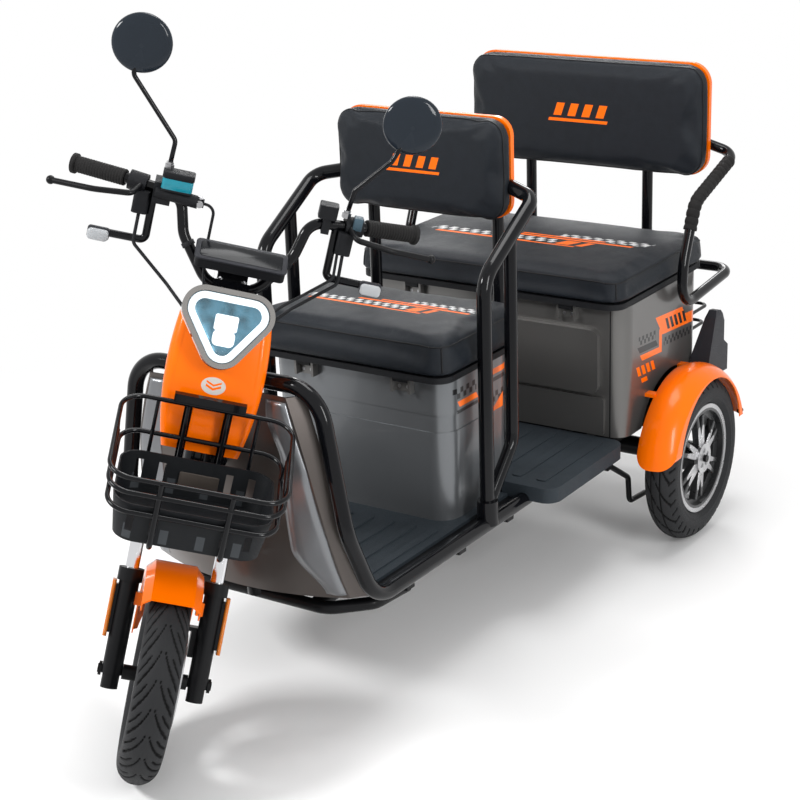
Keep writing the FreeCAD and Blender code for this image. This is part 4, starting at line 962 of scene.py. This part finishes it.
def round_skin(x, z, rows):
    """A skin through upright circles round one middle."""
    turns = [2 * math.pi * k / MIRROR_SIDES for k in range(MIRROR_SIDES)]
    rings = [[(x + r * math.cos(a), y, z + r * math.sin(a)) for a in turns] for r, y in rows]
    return lofted(rings, STRAIGHT)


def roughen_mirrors():
    """A rough wedge and a rough spot on the back of each mirror."""
    x, _, z = mirror_black.local(STRAIGHT)
    marks = []
    for middle, height in MIRROR_HEADS:
        across, up = abs(x - middle), z - height
        marks.append((across < (up + 8.0) * -0.5) * (up > -48.0))
        marks.append(across * across + (up + 3.0) * (up + 3.0) < 20.0)
    mirror_black.put("Roughness", either(marks) * 0.5 + 0.1)


def make_mirrors():
    """Round mirrors on bent stems, with nuts at their feet."""
    shells, glasses, stems, nuts = [], [], [], []
    for (middle, height), row in zip(MIRROR_HEADS, MIRROR_STEMS):
        shells.append(round_skin(middle, height, SHELL_RINGS))
        glasses.append(round_skin(middle, height, GLASS_RINGS))
        stems.append(sweep(bent(row, 16), 4.9, STRAIGHT, 12))
        foot = Vector(row[0])
        for low, high, r in ((-2, 9, 9.5), (9, 14, 7.5)):
            nuts.append(sweep([foot + Vector((0, 0, low)), foot + Vector((0, 0, high))], r, STRAIGHT, 6))
    piece("mirror_shells", joined(shells), "fork", mirror_black, True, ("mirrors",))
    piece("mirror_glasses", joined(glasses), "fork", mirror_glass)
    piece("mirror_stems", joined(stems), "fork", tube_black)
    piece("mirror_nuts", joined(nuts), "fork", bolt_steel, False)


roughen_mirrors()
make_mirrors()


# grips

GRIP_RADIUS = 17.0


def ribs(pitch, depth, length, collar=0.0):
    """Radius along a grip: rounded bands, with a collar at the far end if it has one."""
    def radius(far):
        if collar and far > length - 7:
            return GRIP_RADIUS + collar
        return GRIP_RADIUS - depth + depth * abs(math.sin(math.pi * far / pitch)) ** 0.5
    return radius


def make_grips():
    """Ribbed grips on the bars, and banded foam on the rear handles."""
    bar, handle = [], []
    for side in (1, -1):
        knee, end = Vector((side * 236, -1172, 1066)), Vector((side * 348, -1128, 1060))
        a, b = knee.lerp(end, 0.07), knee.lerp(end, 1.03)
        bar.append(sweep(divided([a, b], 1.0), ribs(6.0, 1.6, (b - a).length, 3.6), STRAIGHT, 28))
        run = [(side * 401, 276.2, 911.2), (side * 401, 75, 846), (side * 401, 47.3, 781.7)]
        handle.append(sweep(divided(bent(run, 60, 2.0), 2.0), ribs(19.0, 2.6, 900), LAYOUT, 24))
    piece("bar_grips", joined(bar), "fork", foam, True, ("hand_grips",))
    piece("rear_handle_foam", joined(handle), "frame", foam, True, ("handle_grips",))


make_grips()


# small parts on the bars

RESERVOIR = (-142, -1209)  # across, ahead
CLIP_FEET = ((-99, -1212, 972), (99, -1212, 972))
TRAY_PLATE = (8, 590)  # across, height
DISPLAY = Matrix.Translation((8, -1262, 976)) @ Matrix.Rotation(math.radians(18), 4, "X")


def make_indicators():
    """Grey shells with clear lenses at the ends of their arms."""
    shells, lenses = [], []
    for side in (1, -1):
        facing = STRAIGHT @ Matrix.Translation((side * 276, -1208.3, 957)) @ FACING_AHEAD
        shells.append(plate(22, 13, 0, 11, 6, (0, 0), facing, 2.5))
        lenses.append(plate(21, 12, 11, 23.5, 8, (0, 0), facing, 4.5))
    piece("indicator_shells", joined(shells), "fork", plastic_grey, True, ("indicators",))
    piece("indicator_lenses", joined(lenses), "fork", clear_lens)


def make_clips():
    """Round clips that hold the cables to the bars."""
    clips = []
    for point in CLIP_FEET:
        point = Vector(point)
        along = Vector((64 if point.x > 0 else -64, 28, 82)).normalized()
        clips.append(sweep([point - along * 5, point - along * 4.9, point + along * 5], 13.5, STRAIGHT, 20))
    piece("cable_clips", joined(clips), "fork", plastic)


def make_tray_plate():
    """Brown plate on the front wall of the basket tray, wherever that wall is."""
    x, z = TRAY_PLATE
    tray = BVHTree.FromObject(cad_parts["basket_tray"], bpy.context.evaluated_depsgraph_get())
    back = (STRAIGHT.to_3x3() @ Vector((0, 1, 0))).normalized()
    wall = STRAIGHT.inverted() @ tray.ray_cast(STRAIGHT @ Vector((x, -1600, z)), back)[0]
    facing = STRAIGHT @ Matrix.Translation((x, wall.y, z)) @ FACING_AHEAD
    piece("tray_plate", plate(39, 17, 0.2, 3, 4, (0, 0), facing, 0.8), "fork", plate_brown)


piece("brake_reservoir", plate(30.7, 17.7, 1077, 1100, 6.7, RESERVOIR, STRAIGHT), "fork", teal)
piece("reservoir_lid", plate(31.7, 18.7, 1100, 1113, 7, RESERVOIR, STRAIGHT), "fork", plastic)
make_indicators()
piece("left_switch_cap", plate(9, 12, 1066, 1092, 3, (224, -1192), STRAIGHT), "fork", switch_blue)
make_clips()
make_tray_plate()
piece("display_rim", plate(92, 32, 9, 13.5, 10, (0, 0), STRAIGHT @ DISPLAY), "fork", plastic_grey)
piece("display_glass", plate(82, 24, 12.5, 14.2, 7, (0, 0), STRAIGHT @ DISPLAY, 0.6), "fork", screen)


# bolts

WASHER_WIDTH, WASHER_HEIGHT = 1.4, 0.35  # shares of the head's


def bolt_tree(material):
    """Hex heads with washers on points that carry a direction."""
    tree = bpy.data.node_groups.new("bolts", "GeometryNodeTree")
    face = tree.interface
    face.new_socket("Geometry", in_out="INPUT", socket_type="NodeSocketGeometry")
    radius = face.new_socket("Radius", in_out="INPUT", socket_type="NodeSocketFloat")
    height = face.new_socket("Height", in_out="INPUT", socket_type="NodeSocketFloat")
    face.new_socket("Geometry", in_out="OUTPUT", socket_type="NodeSocketGeometry")
    given = add_node(tree, "NodeGroupInput").outputs
    wide = add_node(tree, "ShaderNodeMath", {"operation": "MULTIPLY"}, {0: given["Radius"], 1: WASHER_WIDTH})
    thin = add_node(tree, "ShaderNodeMath", {"operation": "MULTIPLY"}, {0: given["Height"], 1: WASHER_HEIGHT})
    head = add_node(tree, "GeometryNodeMeshCylinder", {},
                    {"Vertices": 6, "Radius": given["Radius"], "Depth": given["Height"]})
    washer = add_node(tree, "GeometryNodeMeshCylinder", {},
                      {"Vertices": 16, "Radius": wide.outputs[0], "Depth": thin.outputs[0]})
    both = add_node(tree, "GeometryNodeJoinGeometry", {}, {0: head.outputs["Mesh"]})
    tree.links.new(washer.outputs["Mesh"], both.inputs[0])
    where = add_node(tree, "GeometryNodeInputNamedAttribute", {"data_type": "FLOAT_VECTOR"}, {0: "aim"})
    aim = add_node(tree, "FunctionNodeAlignRotationToVector", {}, {"Vector": where.outputs["Attribute"]})
    spread = add_node(tree, "GeometryNodeInstanceOnPoints", {},
                      {"Points": given["Geometry"], "Instance": both.outputs[0], "Rotation": aim.outputs[0]})
    real = add_node(tree, "GeometryNodeRealizeInstances", {}, {0: spread.outputs[0]})
    paint = add_node(tree, "GeometryNodeSetMaterial", {}, {0: real.outputs[0], "Material": material})
    add_node(tree, "NodeGroupOutput", {}, {0: paint.outputs[0]})
    return tree, radius.identifier, height.identifier


bolt_nodes, bolt_radius, bolt_height = bolt_tree(bolt_steel.material)


def bolts(name, body, matrix, rows, radius=5.0, height=5.0):
    """Bolt heads at laid-out places, each facing its own way."""
    mesh = bpy.data.meshes.new("points")
    mesh.from_pydata([matrix @ Vector(p) for p, _ in rows], [], [])
    aim = mesh.attributes.new("aim", "FLOAT_VECTOR", "POINT")
    turn = matrix.to_3x3()
    for i, (_, way) in enumerate(rows):
        aim.data[i].vector = (turn @ Vector(way)).normalized()
    obj = placed("work", mesh)
    modifier = obj.modifiers.new("bolts", "NODES")
    modifier.node_group = bolt_nodes
    modifier[bolt_radius], modifier[bolt_height] = radius * MM, height * MM
    return piece(name, plain(obj), body, bolt_steel, False)


UP, AHEAD = (0, 0, 1), (0, -1, 0)
HINGES = ((-830, 620.3, 130), (-240, 642.3, 220))  # y and height of each lid's hinge line, reach either side
# two screws in each hinge, on the front of the boxes
HINGE_SCREWS = [((x + beside, y - 3.4, z - 21), AHEAD)
                for y, z, reach in HINGES for x in (-reach, reach) for beside in (-11, 11)]
HUB_FACE, HUB_CIRCLE = 475.4, 20


def hub_rows(side):
    """Five bolts round a rear hub and one in its middle."""
    rows = []
    for k in range(5):
        a = math.radians(72 * k)
        spot = (side * HUB_FACE, HUB_CIRCLE * math.sin(a), TYRE_RADIUS + HUB_CIRCLE * math.cos(a))
        rows.append((spot, (side, 0, 0)))
    return rows + [((side * 476, 0, TYRE_RADIUS), (side, 0, 0))]


bolts("clamp_bolts", "fork", STRAIGHT, [((x, y, 931), UP) for x in (-24, 24) for y in (-1252, -1214)], 5, 6)
bolts("display_bolts", "fork", STRAIGHT, [((x, -1263.5, 908), AHEAD) for x in (-17, 17)], 5.5, 4)
bolts("banjo_bolts", "fork", STRAIGHT, [((-93, -1212, 1070.5), UP), ((-93, -1222.5, 1060), AHEAD)], 5.5, 5)
bolts("hinge_screws", "frame", LAYOUT, HINGE_SCREWS, 3.2, 2.4)
for name, side in (("left", 1), ("right", -1)):
    bolts("hub_bolts_" + name, "rear_wheel_" + name, LAYOUT, hub_rows(side), 4.2, 4)


# valves and pegs

for name, side in (("left", 1), ("right", -1)):
    foot = Vector((side * 452, 68, 290))
    bend, tip = foot + Vector((side * 6, -8, -12)), foot + Vector((side * 14, -19, -28))
    piece("valve_" + name, sweep([foot, bend, tip], 3.4, LAYOUT, 10), "rear_wheel_" + name, foam)
pegs = [sweep([(side * 473, 213, 269), (side * 473, 233, 267)], 5.5, LAYOUT, 12) for side in (1, -1)]
piece("fender_pegs", joined(pegs), "frame", plastic)


# room, light and camera

WORLD_LIGHT = 0.55
RAYS_SEEN = ("Is Camera Ray", "Is Glossy Ray", "Is Transmission Ray")


def make_floor():
    """Pale floor that keeps the shadow near the tricycle and fades to white around it."""
    mesh = bpy.data.meshes.new("floor")
    mesh.from_pydata([(-30, -30, 0), (30, -30, 0), (30, 30, 0), (-30, 30, 0)], [], [(0, 1, 2, 3)])
    floor = placed("floor", mesh)
    f = Finish("floor", "", (0.9, 0.9, 0.9), 0.9, Specular_IOR_Level=0.1)
    floor.data.materials.append(f.material)
    far = (f.x * f.x + f.y * f.y).math("SQRT").ramp(1.1, 2.3)
    path = f.add("ShaderNodeLightPath")
    seen = either([Value(f, path.outputs[ray]) for ray in RAYS_SEEN])
    white = f.add("ShaderNodeEmission", {}, {"Color": (1, 1, 1, 1), "Strength": 1.0})
    mix = f.add("ShaderNodeMixShader", {}, {0: far * seen, 1: f.shader.outputs[0], 2: white.outputs[0]})
    join(f.tree, mix.outputs[0], f.tree.nodes["Material Output"].inputs["Surface"])


def make_world():
    """White to the eye and in reflections, softer as light."""
    world = bpy.data.worlds.new("studio")
    world.use_nodes = True
    bpy.context.scene.world = world
    tree = world.node_tree
    path = add_node(tree, "ShaderNodeLightPath")
    seen = path.outputs[RAYS_SEEN[0]]
    for ray in RAYS_SEEN[1:]:
        most = add_node(tree, "ShaderNodeMath", {"operation": "MAXIMUM"}, {0: seen, 1: path.outputs[ray]})
        seen = most.outputs[0]
    level = add_node(tree, "ShaderNodeMapRange", {}, {"Value": seen, "To Min": WORLD_LIGHT, "To Max": 1.0})
    back = tree.nodes["Background"].inputs
    join(tree, level.outputs[0], back["Strength"])
    back["Color"].default_value = (1, 1, 1, 1)


def area_light(name, place, aim, size, power):
    """A rectangular light at a place, turned to its aim."""
    light = bpy.data.lights.new(name, "AREA")
    light.shape, light.size, light.size_y, light.energy = "RECTANGLE", size[0], size[1], power
    obj = placed(name, light)
    obj.location = place
    obj.rotation_mode = "QUATERNION"
    obj.rotation_quaternion = (Vector(aim) - Vector(place)).to_track_quat("-Z", "Y")


def make_camera():
    """The photograph's viewpoint."""
    azimuth, elevation, roll = math.radians(33.78), math.radians(19.31), math.radians(-1.91)
    level = math.cos(elevation)
    back = Vector((math.sin(azimuth) * level, -math.cos(azimuth) * level, math.sin(elevation)))
    right = Vector((math.cos(azimuth), math.sin(azimuth), 0))
    up = back.cross(right)
    across = right * math.cos(roll) + up * math.sin(roll)
    over = up * math.cos(roll) - right * math.sin(roll)
    data = bpy.data.cameras.new("camera")
    data.sensor_width, data.lens = 36.0, 82.483
    data.shift_x, data.shift_y = -0.0056, 0.0027
    camera = placed("camera", data)
    turn = Matrix((across, over, back)).transposed().to_4x4()
    camera.matrix_world = Matrix.Translation((2.24209, -3.99018 + REAR_AXLE_Y, 1.89322)) @ turn
    bpy.context.scene.camera = camera


make_floor()
make_world()
area_light("key_light", (-1.8, -3.0, 3.0), (0, -0.2, 0.5), (1.3, 0.8), 120)
area_light("fill_light", (3.4, -1.2, 1.9), (0, 0.1, 0.5), (0.7, 1.9), 75)
area_light("top_light", (0.2, 0.6, 3.6), (0, 0.1, 0.5), (2.0, 1.2), 55)
area_light("rear_light", (-1.5, 3.6, 2.6), (0, 0.2, 0.5), (1.6, 1.0), 40)
make_camera()
bpy.context.scene.view_settings.view_transform = "Standard"
